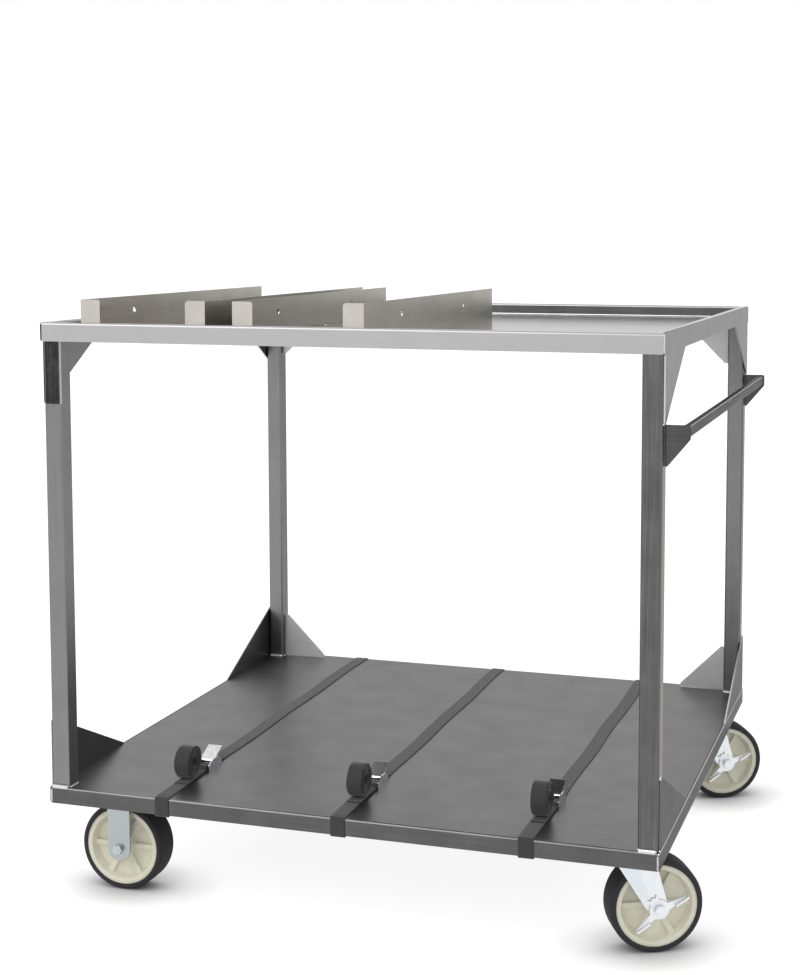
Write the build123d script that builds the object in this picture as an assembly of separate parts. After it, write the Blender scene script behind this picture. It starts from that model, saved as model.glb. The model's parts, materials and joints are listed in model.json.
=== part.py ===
from build123d import *
import math
import os

# Tray transport cart: two folded-sheet decks between end panels on four square legs.
# Rigid casters carry one end, braked swivel casters and a push handle the other.
# Retaining rails stand on the top deck, and tie-down straps lie stowed on the lower one.
# Millimetres. +X runs to the handle, -Y is the loading side, +Z is up.
# The origin is on the floor, under the middle of the overall length and depth.

# Decks and end panels
DECK_LENGTH = 1040.0
DECK_DEPTH = 950.0
TOP_HEIGHT = 983.0
LOWER_HEIGHT = 198.0
DECK_SHEET = 2.0
PANEL_SHEET = 3.0
PANEL_CORNER = 3.0
TOP_APRON = 31.0
LOWER_APRON = 28.0
BEND_RADIUS = 4.0
REAR_BEND_RADIUS = 8.0
RIM_WIDTH = 14.0
PAN_RECESS = 22.0
EAR_SETBACK = 8.0
EAR_NOSE = 8.0
TOP_EAR_DROP = 104.0
TOP_EAR_LENGTH = 176.0
LOWER_EAR_RISE = 113.0
LOWER_EAR_LENGTH = 246.0

# Legs, gussets and stiffeners
LEG_SIDE = 32.0
LEG_WALL = 2.0
LEG_CORNER = 4.0
LEG_SETBACK = 4.0
GUSSET_SIDE = 90.0
GUSSET_TIP = 8.0
GUSSET_SHEET = 4.0
HAT_WIDTH = 46.0
HAT_FLANGE = 15.0
HAT_SHEET = 2.0
TOP_HAT_TALL = 8.0
TOP_HAT_SPREAD = 320.0
TOP_HAT_LENGTH = 940.0
LOWER_HAT_TALL = 22.0
LOWER_HAT_GAP = 6.0

# Push handle
HANDLE_REACH = 39.0
BAR_WIDTH = 12.0
BAR_TALL = 18.0
BAR_CORNER = 3.5
BAR_WALL = 2.0
BRACKET_SHEET = 5.0
BRACKET_TALL = 68.0
BRACKET_MARGIN = 1.5
BRACKET_GAP = 1.5
BRACKET_CORNER = 3.0

# Retaining rails on the top deck
CRADLE_INSET = 68.0
CRADLE_WIDTH = 224.0
CRADLE_PITCH = 272.0
CRADLES = 2
RAIL_TALL = 60.0
RAIL_SHEET = 2.0
RAIL_FOOT = 26.0
RAIL_LIP = 35.0
RAIL_CORNER = 6.0
RAIL_LENGTH = 724.0
RAIL_GAP = 1.0
RAIL_HOLE_RADIUS = 5.0
RAIL_HOLE_DROP = 24.0
RAIL_HOLE_FIRST = 180.0
RAIL_HOLE_SPACING = 350.0
RAIL_RIVETS = 3
RAIL_RIVET_END = 70.0
RIVET_RADIUS = 2.4
RIVET_HEAD_RADIUS = 5.0
RIVET_HEAD_TALL = 2.6
RIVET_CLEARANCE = 0.3

# Wheels
WHEEL_RADIUS = 76.0
TREAD_WIDTH = 50.0
TYRE_THICK = 9.5
TYRE_SHOULDER = 6.5
HUB_WIDTH = 46.0
HUB_RING = 8.5
HUB_DRAFT = 5.0
HUB_WEB = 16.0
HUB_RIBS = 6
RIB_WIDTH = 12.0
RIB_DEPTH = 28.0
RIB_ROOT = 1.0
BOSS_RADIUS = 17.0
BOSS_GAP = 1.0
SLEEVE_RADIUS = 7.5
AXLE_RADIUS = 5.0
RUNNING_CLEARANCE = 0.05
AXLE_CLEARANCE = 0.15
HEX_RADIUS = 9.0
HEX_TALL = 7.0

# Caster forks, plates and fixings
CASTER_HEIGHT = 180.0
RIGID_INSET = 92.0
SWIVEL_INSET = 65.0
CASTER_Y_INSET = 100.0
PLATE_LENGTH = 115.0
PLATE_WIDTH = 100.0
PLATE_SHEET = 5.0
PLATE_CORNER = 10.0
BOLT_SPAN_X = 75.0
BOLT_SPAN_Y = 90.0
BOLT_RADIUS = 5.0
BOLT_CLEARANCE = 0.4
BOLT_HEAD_TALL = 6.0
CHANNEL_WIDTH = 116.0
CHANNEL_SHEET = 3.0
CHANNEL_END_GAP = 6.0
FORK_GAP = 62.0
FORK_SHEET = 4.0
FORK_FOOT_RADIUS = 21.0
SWIVEL_FOOT_RADIUS = 17.0
SWIVEL_TRAIL = 38.0
SWIVEL_ANGLE = 27.0
RACE_TALL = 8.0
RACE_RADIUS = 31.0
RACE_GAP = 0.3
CROWN_SHEET = 5.0
CROWN_FRONT = 36.0
CROWN_BACK = 30.0
FORK_FOLD = -2.0
FORK_FOLD_FOOT = 8.0
FORK_TUCK = 6.0
KINGPIN_RADIUS = 8.0
KINGPIN_HEAD_RADIUS = 13.0
KINGPIN_HEAD_TALL = 8.0

# Brake levers on the swivel casters
LEVER_SHEET = 3.0
LEVER_GAP = 0.4
LEVER_DISC = 16.0
LEVER_SPAN = 50.0
LEVER_WAIST = 14.0
LEVER_FLARE = 9.0
LEVER_DROP = 9.0
LEVER_PAD_START = 24.0
LEVER_PAD_DEEP = 7.0
LEVER_TILT = 32.0
LUG_WIDTH = 16.0
LUG_TALL = 8.0
LUG_NOTCH_RADIUS = 2.0

# Tie-down straps and cam buckles
STRAPS = 3
STRAP_PITCH = 312.0
STRAP_WIDTH = 25.0
STRAP_THICK = 1.5
STRAP_SEAT = 0.3
STRAP_TUCK = 16.0
STRAP_PLY_GAP = 0.45
STRAP_RETURN = 75.0
ROLL_TURNS = 10
ROLL_CORE = 7.0
ROLL_PITCH = 2.0
ROLL_SETOFF = 75.0
BUCKLE_PLACE = 300.0
BUCKLE_LENGTH = 52.0
BUCKLE_WALL = 2.0
BUCKLE_SIDE_GAP = 1.0
BUCKLE_TALL = 17.0
BUCKLE_CORNER = 3.0
BUCKLE_BAR_RADIUS = 2.0
BUCKLE_BAR_PLACE = 20.0
BUCKLE_BASE_END = 10.0
CAM_RADIUS = 5.3
CAM_OFFSET = 1.5
CAM_PHASE = -80.0
CAM_PLACE = -4.0
CAM_GAP = 0.42
CAM_GROOVES = 5
CAM_GROOVE_RADIUS = 0.5
CAM_PIN_RADIUS = 2.2
THUMB_LENGTH = 34.0
THUMB_THICK = 2.6
THUMB_ANGLE = 25.0
THUMB_SIDE_GAP = 0.5
CLAMP_WIDTH = 38.0
CLAMP_TALL = 13.0
CLAMP_SHEET = 2.5
CLAMP_STUD_RADIUS = 2.5
CLAMP_STUD_MARGIN = 3.3

# Places worked out from the sizes above
HALF_LENGTH = DECK_LENGTH / 2
HALF_DEPTH = DECK_DEPTH / 2
PANEL_INNER = HALF_LENGTH - PANEL_SHEET
PAN_FLOOR = TOP_HEIGHT - PAN_RECESS
PAN_UNDER = PAN_FLOOR - DECK_SHEET
TOP_EDGE = TOP_HEIGHT - TOP_APRON
LOWER_UNDER = LOWER_HEIGHT - DECK_SHEET
LOWER_EDGE = LOWER_HEIGHT - LOWER_APRON
LEG_X = PANEL_INNER - LEG_SIDE / 2
LEG_Y = HALF_DEPTH - LEG_SETBACK - LEG_SIDE / 2
LEG_INNER = LEG_X - LEG_SIDE / 2
HANDLE_NOSE = PANEL_INNER + HANDLE_REACH
HANDLE_HEIGHT = TOP_EDGE - TOP_EAR_DROP - BRACKET_GAP - BRACKET_MARGIN - BAR_TALL / 2
CENTRE_X = (HANDLE_NOSE - HALF_LENGTH) / 2
RAIL_FRONT = -HALF_DEPTH + RIM_WIDTH + RAIL_GAP
RIGID_X = -HALF_LENGTH + RIGID_INSET
SWIVEL_X = HALF_LENGTH - SWIVEL_INSET
CASTER_Y = HALF_DEPTH - CASTER_Y_INSET
PLATE_UNDER = CASTER_HEIGHT - PLATE_SHEET
RACE_UNDER = PLATE_UNDER - RACE_TALL
CROWN_TOP = RACE_UNDER - RACE_GAP
CROWN_UNDER = CROWN_TOP - CROWN_SHEET
FORK_HALF = FORK_GAP / 2 + FORK_SHEET
TYRE_BORE = WHEEL_RADIUS - TYRE_THICK
BUCKLE_HALF = STRAP_WIDTH / 2 + BUCKLE_SIDE_GAP + BUCKLE_WALL
PLY = STRAP_THICK + STRAP_PLY_GAP
STRAP_LEVEL = STRAP_SEAT + STRAP_THICK / 2
BAR_LOOP_RADIUS = BUCKLE_BAR_RADIUS + STRAP_SEAT + STRAP_THICK / 2
BAR_LEVEL = STRAP_LEVEL + BAR_LOOP_RADIUS
PASS_LEVEL = BUCKLE_WALL + STRAP_LEVEL
TAIL_LEVEL = STRAP_LEVEL + 2 * PLY
CREST_LEVEL = STRAP_LEVEL + 2 * BAR_LOOP_RADIUS + PLY
PIVOT_LEVEL = (PASS_LEVEL + STRAP_THICK / 2 + CAM_GAP + CAM_RADIUS
               - CAM_OFFSET * math.sin(math.radians(CAM_PHASE)))
ROLL_RADIUS = ROLL_CORE + ROLL_TURNS * ROLL_PITCH
STRAP_STATIONS = [(index - (STRAPS - 1) / 2) * STRAP_PITCH for index in range(STRAPS)]
SIDES = (("left", -1), ("right", 1))
ENDS = (("front", -1), ("rear", 1))


def prism_x(sketch, x0, x1):
    """Extrude a (Y, Z) sketch from one length station to another."""
    return extrude(Plane.YZ.offset(x0) * sketch, x1 - x0, dir=(1, 0, 0))


def prism_y(sketch, y0, y1):
    """Extrude an (X, Z) sketch from one depth to another."""
    return extrude(Plane.XZ.offset(-y0) * sketch, y1 - y0, dir=(0, 1, 0))


def prism_z(sketch, z0, z1):
    """Extrude an (X, Y) sketch from one height to another."""
    return extrude(Plane.XY.offset(z0) * sketch, z1 - z0, dir=(0, 0, 1))


def rounded(points, radius):
    """Closed outline through the points with every corner rounded, alike or by its own radius."""
    return make_face(FilletPolyline(*points, radius=radius, close=True))


def rod_y(radius, y0, y1):
    """Round bar along Y through the local origin."""
    return prism_y(Circle(radius), y0, y1)


def hexagon_y(y0, y1):
    """Hexagon head or nut along Y."""
    return prism_y(RegularPolygon(HEX_RADIUS, 6), y0, y1)


# Decks, end panels, legs and stiffeners

def top_deck():
    """Flat floor of the pan, welded in between the folded rims."""
    floor = Rectangle(2 * (PANEL_INNER - RIM_WIDTH), DECK_DEPTH - 2 * RIM_WIDTH)
    for x, y in rail_rivet_places():
        floor -= Pos(x, y) * Circle(RIVET_RADIUS + RIVET_CLEARANCE)
    return prism_z(floor, PAN_UNDER, PAN_FLOOR)


def bent_strip(points, radii):
    """Section of folded deck sheet along its outer line, which turns to the right at each bend."""
    outer = FilletPolyline(*points, radius=radii)
    ahead = [(end - start).normalized() for start, end in zip(points, points[1:])]
    inward = [Vector(step.Y, -step.X) for step in ahead]
    corners = [a + b for a, b in zip(inward, inward[1:])]
    shifts = [inward[0], *corners, inward[-1]]
    inner_points = [point + shift * DECK_SHEET for point, shift in zip(points, shifts)]
    inner_radii = [max(radius - DECK_SHEET, DECK_SHEET / 4) for radius in radii]
    inner = FilletPolyline(*inner_points, radius=inner_radii)
    ends = [Line(outer @ 0, inner @ 0), Line(outer @ 1, inner @ 1)]
    return make_face([*outer.edges(), *inner.edges(), *[line.edge() for line in ends]])


def long_rim(bend):
    """Front edge of the pan, folded as apron, rim and upstand, with the given outer bend."""
    front = -HALF_DEPTH
    back = RIM_WIDTH - HALF_DEPTH
    points = [
        Vector(front, TOP_EDGE),
        Vector(front, TOP_HEIGHT),
        Vector(back, TOP_HEIGHT),
        Vector(back, PAN_UNDER),
    ]
    return prism_x(bent_strip(points, [bend, BEND_RADIUS]), -PANEL_INNER, PANEL_INNER)


def long_rim_cope():
    """Space that the front edge takes at its upstand, for the end rims to be cut round."""
    reach = HALF_DEPTH - RIM_WIDTH / 2
    space = Pos(RIM_WIDTH / 4 - reach, (PAN_UNDER + TOP_HEIGHT) / 2) * Rectangle(
        RIM_WIDTH / 2, TOP_HEIGHT - PAN_UNDER
    )
    corner = space.vertices().group_by(Axis.Y)[-1].sort_by(Axis.X)[-1]
    return prism_x(fillet(corner, BEND_RADIUS), -PANEL_INNER, PANEL_INNER)


def end_rim():
    """Right-hand edge of the pan between the long rims: a rim on the end panel and an upstand."""
    inner = PANEL_INNER - RIM_WIDTH
    points = [
        Vector(inner, PAN_UNDER),
        Vector(inner, TOP_HEIGHT),
        Vector(PANEL_INNER, TOP_HEIGHT),
    ]
    reach = HALF_DEPTH - RIM_WIDTH + BEND_RADIUS
    rim = prism_y(bent_strip(points, [BEND_RADIUS]), -reach, reach)
    cope = long_rim_cope()
    return rim - cope - mirror(cope, Plane.XZ)


def top_rims():
    """Front, rear, right and left edges of the pan."""
    front = long_rim(BEND_RADIUS)
    rear = mirror(long_rim(REAR_BEND_RADIUS), Plane.XZ)
    right = end_rim()
    return [front, rear, right, mirror(right, Plane.YZ)]


def lower_deck():
    """Flat deck with front and rear edges turned down."""
    body = prism_z(Rectangle(2 * PANEL_INNER, DECK_DEPTH), LOWER_EDGE, LOWER_HEIGHT)
    body = fillet(body.edges().filter_by(Axis.X).group_by(Axis.Z)[-1], BEND_RADIUS)
    across = body.faces().sort_by(Axis.X)
    below = body.faces().sort_by(Axis.Z)[0]
    return offset(body, -DECK_SHEET, openings=[below, across[0], across[-1]])


def eared_panel(near, far, tip, length, rear_corner):
    """Outline of an end panel in (Y, Z): an apron with a tapered ear at each end.

    near is the deck-side edge that the ears spring from, far is the opposite edge.
    rear_corner is the radius where the far edge meets the rear.
    """
    outer = HALF_DEPTH - EAR_SETBACK
    half = [
        (HALF_DEPTH, far),
        (HALF_DEPTH, near),
        (outer, near),
        (outer, tip),
        (outer - EAR_NOSE, tip),
        (outer - length, near),
    ]
    points = half + [(-y, z) for y, z in reversed(half)]
    return rounded(points, [rear_corner] + [PANEL_CORNER] * (len(points) - 1))


def end_panels():
    """Upper and lower panels at both ends, as name and solid."""
    upper = eared_panel(TOP_EDGE, TOP_HEIGHT, TOP_EDGE - TOP_EAR_DROP, TOP_EAR_LENGTH, REAR_BEND_RADIUS)
    lower_tip = LOWER_HEIGHT + LOWER_EAR_RISE
    lower = eared_panel(LOWER_HEIGHT, LOWER_EDGE, lower_tip, LOWER_EAR_LENGTH, PANEL_CORNER)
    panels = {}
    for side, sign in SIDES:
        span = sorted((sign * PANEL_INNER, sign * HALF_LENGTH))
        panels["top_side_panel_" + side] = prism_x(upper, *span)
        panels["lower_side_panel_" + side] = prism_x(lower, *span)
    return panels


def leg(x_sign, y_sign):
    """Square tube standing on the lower deck under a corner of the pan."""
    section = RectangleRounded(LEG_SIDE, LEG_SIDE, LEG_CORNER)
    inner = LEG_SIDE - 2 * LEG_WALL
    section -= RectangleRounded(inner, inner, LEG_CORNER - LEG_WALL)
    return Pos(x_sign * LEG_X, y_sign * LEG_Y, 0) * prism_z(section, LOWER_HEIGHT, PAN_UNDER)


def rear_gussets():
    """Triangular plates in the corners of the rear legs, above and below."""
    gussets = []
    for _, sign in SIDES:
        for corner, rise in ((PAN_UNDER, -1), (LOWER_HEIGHT, 1)):
            outline = Polygon(
                (sign * LEG_INNER, corner),
                (sign * (LEG_INNER - GUSSET_SIDE), corner),
                (sign * (LEG_INNER - GUSSET_SIDE), corner + rise * GUSSET_TIP),
                (sign * (LEG_INNER - GUSSET_TIP), corner + rise * GUSSET_SIDE),
                (sign * LEG_INNER, corner + rise * GUSSET_SIDE),
                align=None,
            )
            gussets.append(prism_y(outline, LEG_Y - GUSSET_SHEET / 2, LEG_Y + GUSSET_SHEET / 2))
    return gussets


def hat_section(tall):
    """Hat profile hanging below its flanges, in (Y, Z) with the flanges at zero height."""
    crown = HAT_WIDTH / 2
    reach = crown + HAT_FLANGE
    half = [
        (reach, 0),
        (reach, -HAT_SHEET),
        (crown, -HAT_SHEET),
        (crown, -tall),
    ]
    inside = [
        (crown - HAT_SHEET, HAT_SHEET - tall),
        (crown - HAT_SHEET, 0),
    ]
    right = half + [(-y, z) for y, z in reversed(half)]
    left = [(-y, z) for y, z in reversed(inside)] + inside
    return Polygon(*right, *left, align=None)


def top_stiffeners():
    """Two hat sections under the pan floor."""
    hat = prism_x(hat_section(TOP_HAT_TALL), -TOP_HAT_LENGTH / 2, TOP_HAT_LENGTH / 2)
    return [Pos(0, sign * TOP_HAT_SPREAD / 2, PAN_UNDER) * hat for _, sign in ENDS]


def lower_stiffener():
    """Hat section between the two caster channels, under the lower deck."""
    start = RIGID_X + CHANNEL_WIDTH / 2 + LOWER_HAT_GAP
    end = SWIVEL_X - CHANNEL_WIDTH / 2 - LOWER_HAT_GAP
    return Pos(0, 0, LOWER_UNDER) * prism_x(hat_section(LOWER_HAT_TALL), start, end)


# Push handle

def bar_centre():
    """X of the handle bar's middle, just inside the bracket's nose."""
    return HANDLE_NOSE - BRACKET_MARGIN - BAR_WIDTH / 2


def handle_bar():
    """Flat-oval tube between the two brackets."""
    section = RectangleRounded(BAR_WIDTH, BAR_TALL, BAR_CORNER)
    bore = RectangleRounded(BAR_WIDTH - 2 * BAR_WALL, BAR_TALL - 2 * BAR_WALL, BAR_CORNER - BAR_WALL)
    reach = LEG_Y - BRACKET_SHEET / 2
    return Pos(bar_centre(), 0, HANDLE_HEIGHT) * prism_y(section - bore, -reach, reach)


def handle_bracket(sign):
    """Tapered plate from a right-hand leg to the end of the bar."""
    top = HANDLE_HEIGHT + BAR_TALL / 2 + BRACKET_MARGIN
    nose = HANDLE_HEIGHT - BAR_TALL / 2 - BRACKET_MARGIN
    outline = rounded(
        [
            (PANEL_INNER, top),
            (HANDLE_NOSE, top),
            (HANDLE_NOSE, nose),
            (PANEL_INNER, top - BRACKET_TALL),
        ],
        BRACKET_CORNER,
    )
    middle = sign * LEG_Y
    return prism_y(outline, middle - BRACKET_SHEET / 2, middle + BRACKET_SHEET / 2)


# Retaining rails

def cradle_edges():
    """Outer X of the left and right rail of each cradle, with the inward direction."""
    edges = []
    for index in range(CRADLES):
        left = -HALF_LENGTH + CRADLE_INSET + index * CRADLE_PITCH
        edges.append((left, 1))
        edges.append((left + CRADLE_WIDTH, -1))
    return edges


def rail_rivet_stations():
    """Y of the rivets along a rail."""
    step = (RAIL_LENGTH - 2 * RAIL_RIVET_END) / (RAIL_RIVETS - 1)
    return [RAIL_FRONT + RAIL_RIVET_END + index * step for index in range(RAIL_RIVETS)]


def rail_rivet_places():
    """(X, Y) of every rail rivet."""
    inward_run = (RAIL_SHEET + RAIL_FOOT) / 2
    return [(edge + inward * inward_run, y) for edge, inward in cradle_edges() for y in rail_rivet_stations()]


def retaining_rail(edge, inward):
    """Angle rail with its front end folded in as a stop lip and two tie holes in the wall."""
    across = [0, inward * RAIL_SHEET, inward * RAIL_FOOT]
    angle = Polygon(
        (across[0], 0),
        (across[2], 0),
        (across[2], RAIL_SHEET),
        (across[1], RAIL_SHEET),
        (across[1], RAIL_TALL),
        (across[0], RAIL_TALL),
        align=None,
    )
    rail = prism_y(angle, RAIL_FRONT, RAIL_FRONT + RAIL_LENGTH)
    lip = Pos(inward * RAIL_LIP / 2, RAIL_TALL / 2) * RectangleRounded(RAIL_LIP, RAIL_TALL, RAIL_CORNER)
    lip += Pos(inward * RAIL_LIP / 4, RAIL_TALL / 2) * Rectangle(RAIL_LIP / 2, RAIL_TALL)
    rail += prism_y(lip, RAIL_FRONT, RAIL_FRONT + RAIL_SHEET)
    for step in (0, RAIL_HOLE_SPACING):
        y = RAIL_FRONT + RAIL_HOLE_FIRST + step
        hole = Pos(y, RAIL_TALL - RAIL_HOLE_DROP) * Circle(RAIL_HOLE_RADIUS)
        rail -= prism_x(hole, -2 * RAIL_SHEET, 2 * RAIL_SHEET)
    rail = Pos(edge, 0, PAN_FLOOR) * rail
    for x, y in rail_rivet_places():
        rail -= Pos(x, y, 0) * prism_z(Circle(RIVET_RADIUS + RIVET_CLEARANCE), PAN_UNDER, PAN_FLOOR + RAIL_SHEET)
    return rail


def rail_rivets():
    """Pan-head rivets through the rail feet, closed flush under the pan."""
    seat = PAN_FLOOR + RAIL_SHEET
    shank = prism_z(Circle(RIVET_RADIUS), PAN_UNDER, seat)
    head = prism_z(Circle(RIVET_HEAD_RADIUS), seat, seat + RIVET_HEAD_TALL)
    rivet = shank + chamfer(head.edges().group_by(Axis.Z)[-1], RIVET_HEAD_TALL / 2)
    return [Pos(x, y, 0) * rivet for x, y in rail_rivet_places()]


# Wheels, in a frame with the axle along Y through the origin

def tyre():
    """Band of rubber with rounded shoulders."""
    band = Pos((TYRE_BORE + WHEEL_RADIUS) / 2, 0) * Rectangle(TYRE_THICK, TREAD_WIDTH)
    band = fillet(band.vertices().group_by(Axis.X)[-1], TYRE_SHOULDER)
    return revolve(band, Axis.Y)


def hub():
    """Moulded core: outer ring with sloped inner walls, recessed web, long boss and ribs on both faces."""
    bore = SLEEVE_RADIUS + RUNNING_CLEARANCE
    ring_inner = TYRE_BORE - HUB_RING
    ring = Polygon(
        (TYRE_BORE, -HUB_WIDTH / 2),
        (TYRE_BORE, HUB_WIDTH / 2),
        (ring_inner, HUB_WIDTH / 2),
        (ring_inner - HUB_DRAFT, HUB_WEB / 2),
        (ring_inner - HUB_DRAFT, -HUB_WEB / 2),
        (ring_inner, -HUB_WIDTH / 2),
        align=None,
    )
    web = Pos((bore + ring_inner) / 2, 0) * Rectangle(ring_inner - bore, HUB_WEB)
    boss = Pos((bore + BOSS_RADIUS) / 2, 0) * Rectangle(BOSS_RADIUS - bore, FORK_GAP - 2 * BOSS_GAP)
    core = revolve(ring + web + boss, Axis.Y)
    span = ring_inner - BOSS_RADIUS + 2 * RIB_ROOT
    rib = Pos((BOSS_RADIUS + ring_inner) / 2, 0, 0) * Box(span, RIB_DEPTH, RIB_WIDTH)
    for index in range(HUB_RIBS):
        core += Rot(0, index * 360 / HUB_RIBS, 0) * rib
    return core


def axle_sleeve():
    """Bearing tube clamped between the fork legs."""
    return rod_y(SLEEVE_RADIUS, -FORK_GAP / 2, FORK_GAP / 2) - rod_y(
        AXLE_RADIUS + AXLE_CLEARANCE, -FORK_GAP / 2, FORK_GAP / 2
    )


def axle_bolt(head_seat):
    """Bolt and nut through the fork, with the head at -Y beyond head_seat."""
    nut_seat = FORK_HALF
    shank = rod_y(AXLE_RADIUS, -head_seat, nut_seat + HEX_TALL + AXLE_RADIUS / 2)
    bolt = shank + hexagon_y(-head_seat - HEX_TALL, -head_seat)
    nut = hexagon_y(nut_seat, nut_seat + HEX_TALL)
    nut -= rod_y(AXLE_RADIUS + AXLE_CLEARANCE, nut_seat, nut_seat + HEX_TALL)
    return [bolt, nut]


# Casters, in a frame with the swivel axis or fork middle on Z and the floor at zero

def bolt_places():
    """(X, Y) of the four plate bolts around a caster."""
    return [(x * BOLT_SPAN_X / 2, y * BOLT_SPAN_Y / 2) for x in (-1, 1) for y in (-1, 1)]


def caster_plate():
    """Top plate with its four bolt holes."""
    outline = RectangleRounded(PLATE_WIDTH, PLATE_LENGTH, PLATE_CORNER)
    for x, y in bolt_places():
        outline -= Pos(x, y) * Circle(BOLT_RADIUS + BOLT_CLEARANCE)
    return prism_z(outline, PLATE_UNDER, CASTER_HEIGHT)


def fork_foot(centre_x, radius, sign):
    """Round end of a fork leg at the axle."""
    foot = Pos(centre_x, WHEEL_RADIUS) * Circle(radius)
    return prism_y(foot, *sorted((sign * FORK_GAP / 2, sign * FORK_HALF)))


def rigid_fork():
    """Plate with two straight legs that end in a round foot."""
    fork = caster_plate()
    for _, sign in ENDS:
        strip = Pos(0, (WHEEL_RADIUS + PLATE_UNDER) / 2) * Rectangle(
            2 * FORK_FOOT_RADIUS, PLATE_UNDER - WHEEL_RADIUS
        )
        fork += prism_y(strip, *sorted((sign * FORK_GAP / 2, sign * FORK_HALF)))
        fork += fork_foot(0, FORK_FOOT_RADIUS, sign)
    return fork - Pos(0, 0, WHEEL_RADIUS) * rod_y(AXLE_RADIUS + AXLE_CLEARANCE, -FORK_HALF, FORK_HALF)


def folded_leg(sign):
    """Swivel fork leg: a plate with a fold line, tapering from the crown to the axle."""
    outer = sign * FORK_HALF
    inner = sign * FORK_GAP / 2
    tuck = sign * FORK_TUCK
    fold = SWIVEL_TRAIL - FORK_FOLD_FOOT
    lead = SWIVEL_TRAIL - FORK_FOOT_RADIUS + 1
    back = SWIVEL_TRAIL + SWIVEL_FOOT_RADIUS - 1
    top = Polygon(
        (-CROWN_FRONT, inner - tuck),
        (-CROWN_FRONT, outer - tuck),
        (FORK_FOLD, outer),
        (CROWN_BACK, outer),
        (CROWN_BACK, inner),
        (FORK_FOLD, inner),
        align=None,
    )
    foot = Polygon(
        (lead, inner),
        (lead, outer),
        (fold, outer),
        (back, outer),
        (back, inner),
        (fold, inner),
        align=None,
    )
    upper = Plane.XY.offset(CROWN_UNDER) * top
    lower = Plane.XY.offset(WHEEL_RADIUS) * foot
    return loft([lower, upper], ruled=True)


def swivel_fork():
    """Crown on the kingpin with two folded legs down to the axle."""
    length = CROWN_FRONT + CROWN_BACK
    outline = Pos((CROWN_BACK - CROWN_FRONT) / 2, 0) * RectangleRounded(length, 2 * FORK_HALF, FORK_SHEET)
    outline -= Circle(KINGPIN_RADIUS + RUNNING_CLEARANCE)
    fork = prism_z(outline, CROWN_UNDER, CROWN_TOP)
    for _, sign in ENDS:
        fork += folded_leg(sign)
        fork += fork_foot(SWIVEL_TRAIL, SWIVEL_FOOT_RADIUS, sign)
    axle = Pos(SWIVEL_TRAIL, 0, WHEEL_RADIUS)
    fork -= axle * rod_y(SLEEVE_RADIUS + AXLE_CLEARANCE, -FORK_GAP / 2, FORK_GAP / 2)
    return fork - axle * rod_y(AXLE_RADIUS + AXLE_CLEARANCE, -FORK_HALF, FORK_HALF)


def swivel_race():
    """Ball race ring under the top plate."""
    ring = Circle(RACE_RADIUS) - Circle(KINGPIN_RADIUS + RUNNING_CLEARANCE)
    race = prism_z(ring, RACE_UNDER, PLATE_UNDER)
    rim = race.edges().filter_by(GeomType.CIRCLE).group_by(Axis.Z)[0].sort_by(SortBy.RADIUS)[-1]
    return chamfer(rim, RACE_TALL / 3)


def swivel_plate():
    """Top plate bored for the kingpin."""
    return caster_plate() - prism_z(Circle(KINGPIN_RADIUS + RUNNING_CLEARANCE), PLATE_UNDER, CASTER_HEIGHT)


def kingpin():
    """Pivot pin with its head under the crown."""
    seat = CROWN_UNDER - RACE_GAP
    head = prism_z(Circle(KINGPIN_HEAD_RADIUS), seat - KINGPIN_HEAD_TALL, seat)
    head = fillet(head.edges().group_by(Axis.Z)[0], KINGPIN_HEAD_TALL / 3)
    return head + prism_z(Circle(KINGPIN_RADIUS), seat, CASTER_HEIGHT)


def brake_lever():
    """Bow-tie foot lever: a disc on the axle, two thin blades with turned-out treads, and a lug."""
    arm = Polygon(
        (0, -LEVER_DROP),
        (LEVER_SPAN, -LEVER_DROP),
        (LEVER_SPAN, LEVER_SHEET - LEVER_DROP),
        (LEVER_PAD_START, LEVER_FLARE - LEVER_DROP),
        (0, LEVER_WAIST / 2),
        align=None,
    )
    lug = Pos(0, LEVER_DISC + LUG_TALL / 4) * Rectangle(LUG_WIDTH, LUG_TALL)
    for x in (-LUG_WIDTH / 4, LUG_WIDTH / 4):
        lug -= Pos(x, LEVER_DISC + LUG_TALL * 3 / 4) * Circle(LUG_NOTCH_RADIUS)
    disc = Circle(LEVER_DISC) - Pos(0, -LEVER_DROP - LEVER_DISC) * Rectangle(2 * LEVER_DISC, 2 * LEVER_DISC)
    outline = disc + arm + mirror(arm, Plane.YZ) + lug
    outline -= Circle(AXLE_RADIUS + RUNNING_CLEARANCE)
    back = -FORK_HALF - LEVER_GAP
    face = back - LEVER_SHEET
    lever = prism_y(outline, face, back)
    pad = Pos((LEVER_PAD_START + LEVER_SPAN) / 2, LEVER_SHEET / 2 - LEVER_DROP) * Rectangle(
        LEVER_SPAN - LEVER_PAD_START, LEVER_SHEET
    )
    pad = prism_y(pad, face - LEVER_PAD_DEEP, face)
    pad = fillet(pad.edges().filter_by(Axis.Z).group_by(Axis.Y)[0], LEVER_PAD_DEEP / 3)
    lever += pad + mirror(pad, Plane.YZ)
    return Pos(SWIVEL_TRAIL, 0, WHEEL_RADIUS) * Rot(0, -LEVER_TILT, 0) * lever


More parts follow.
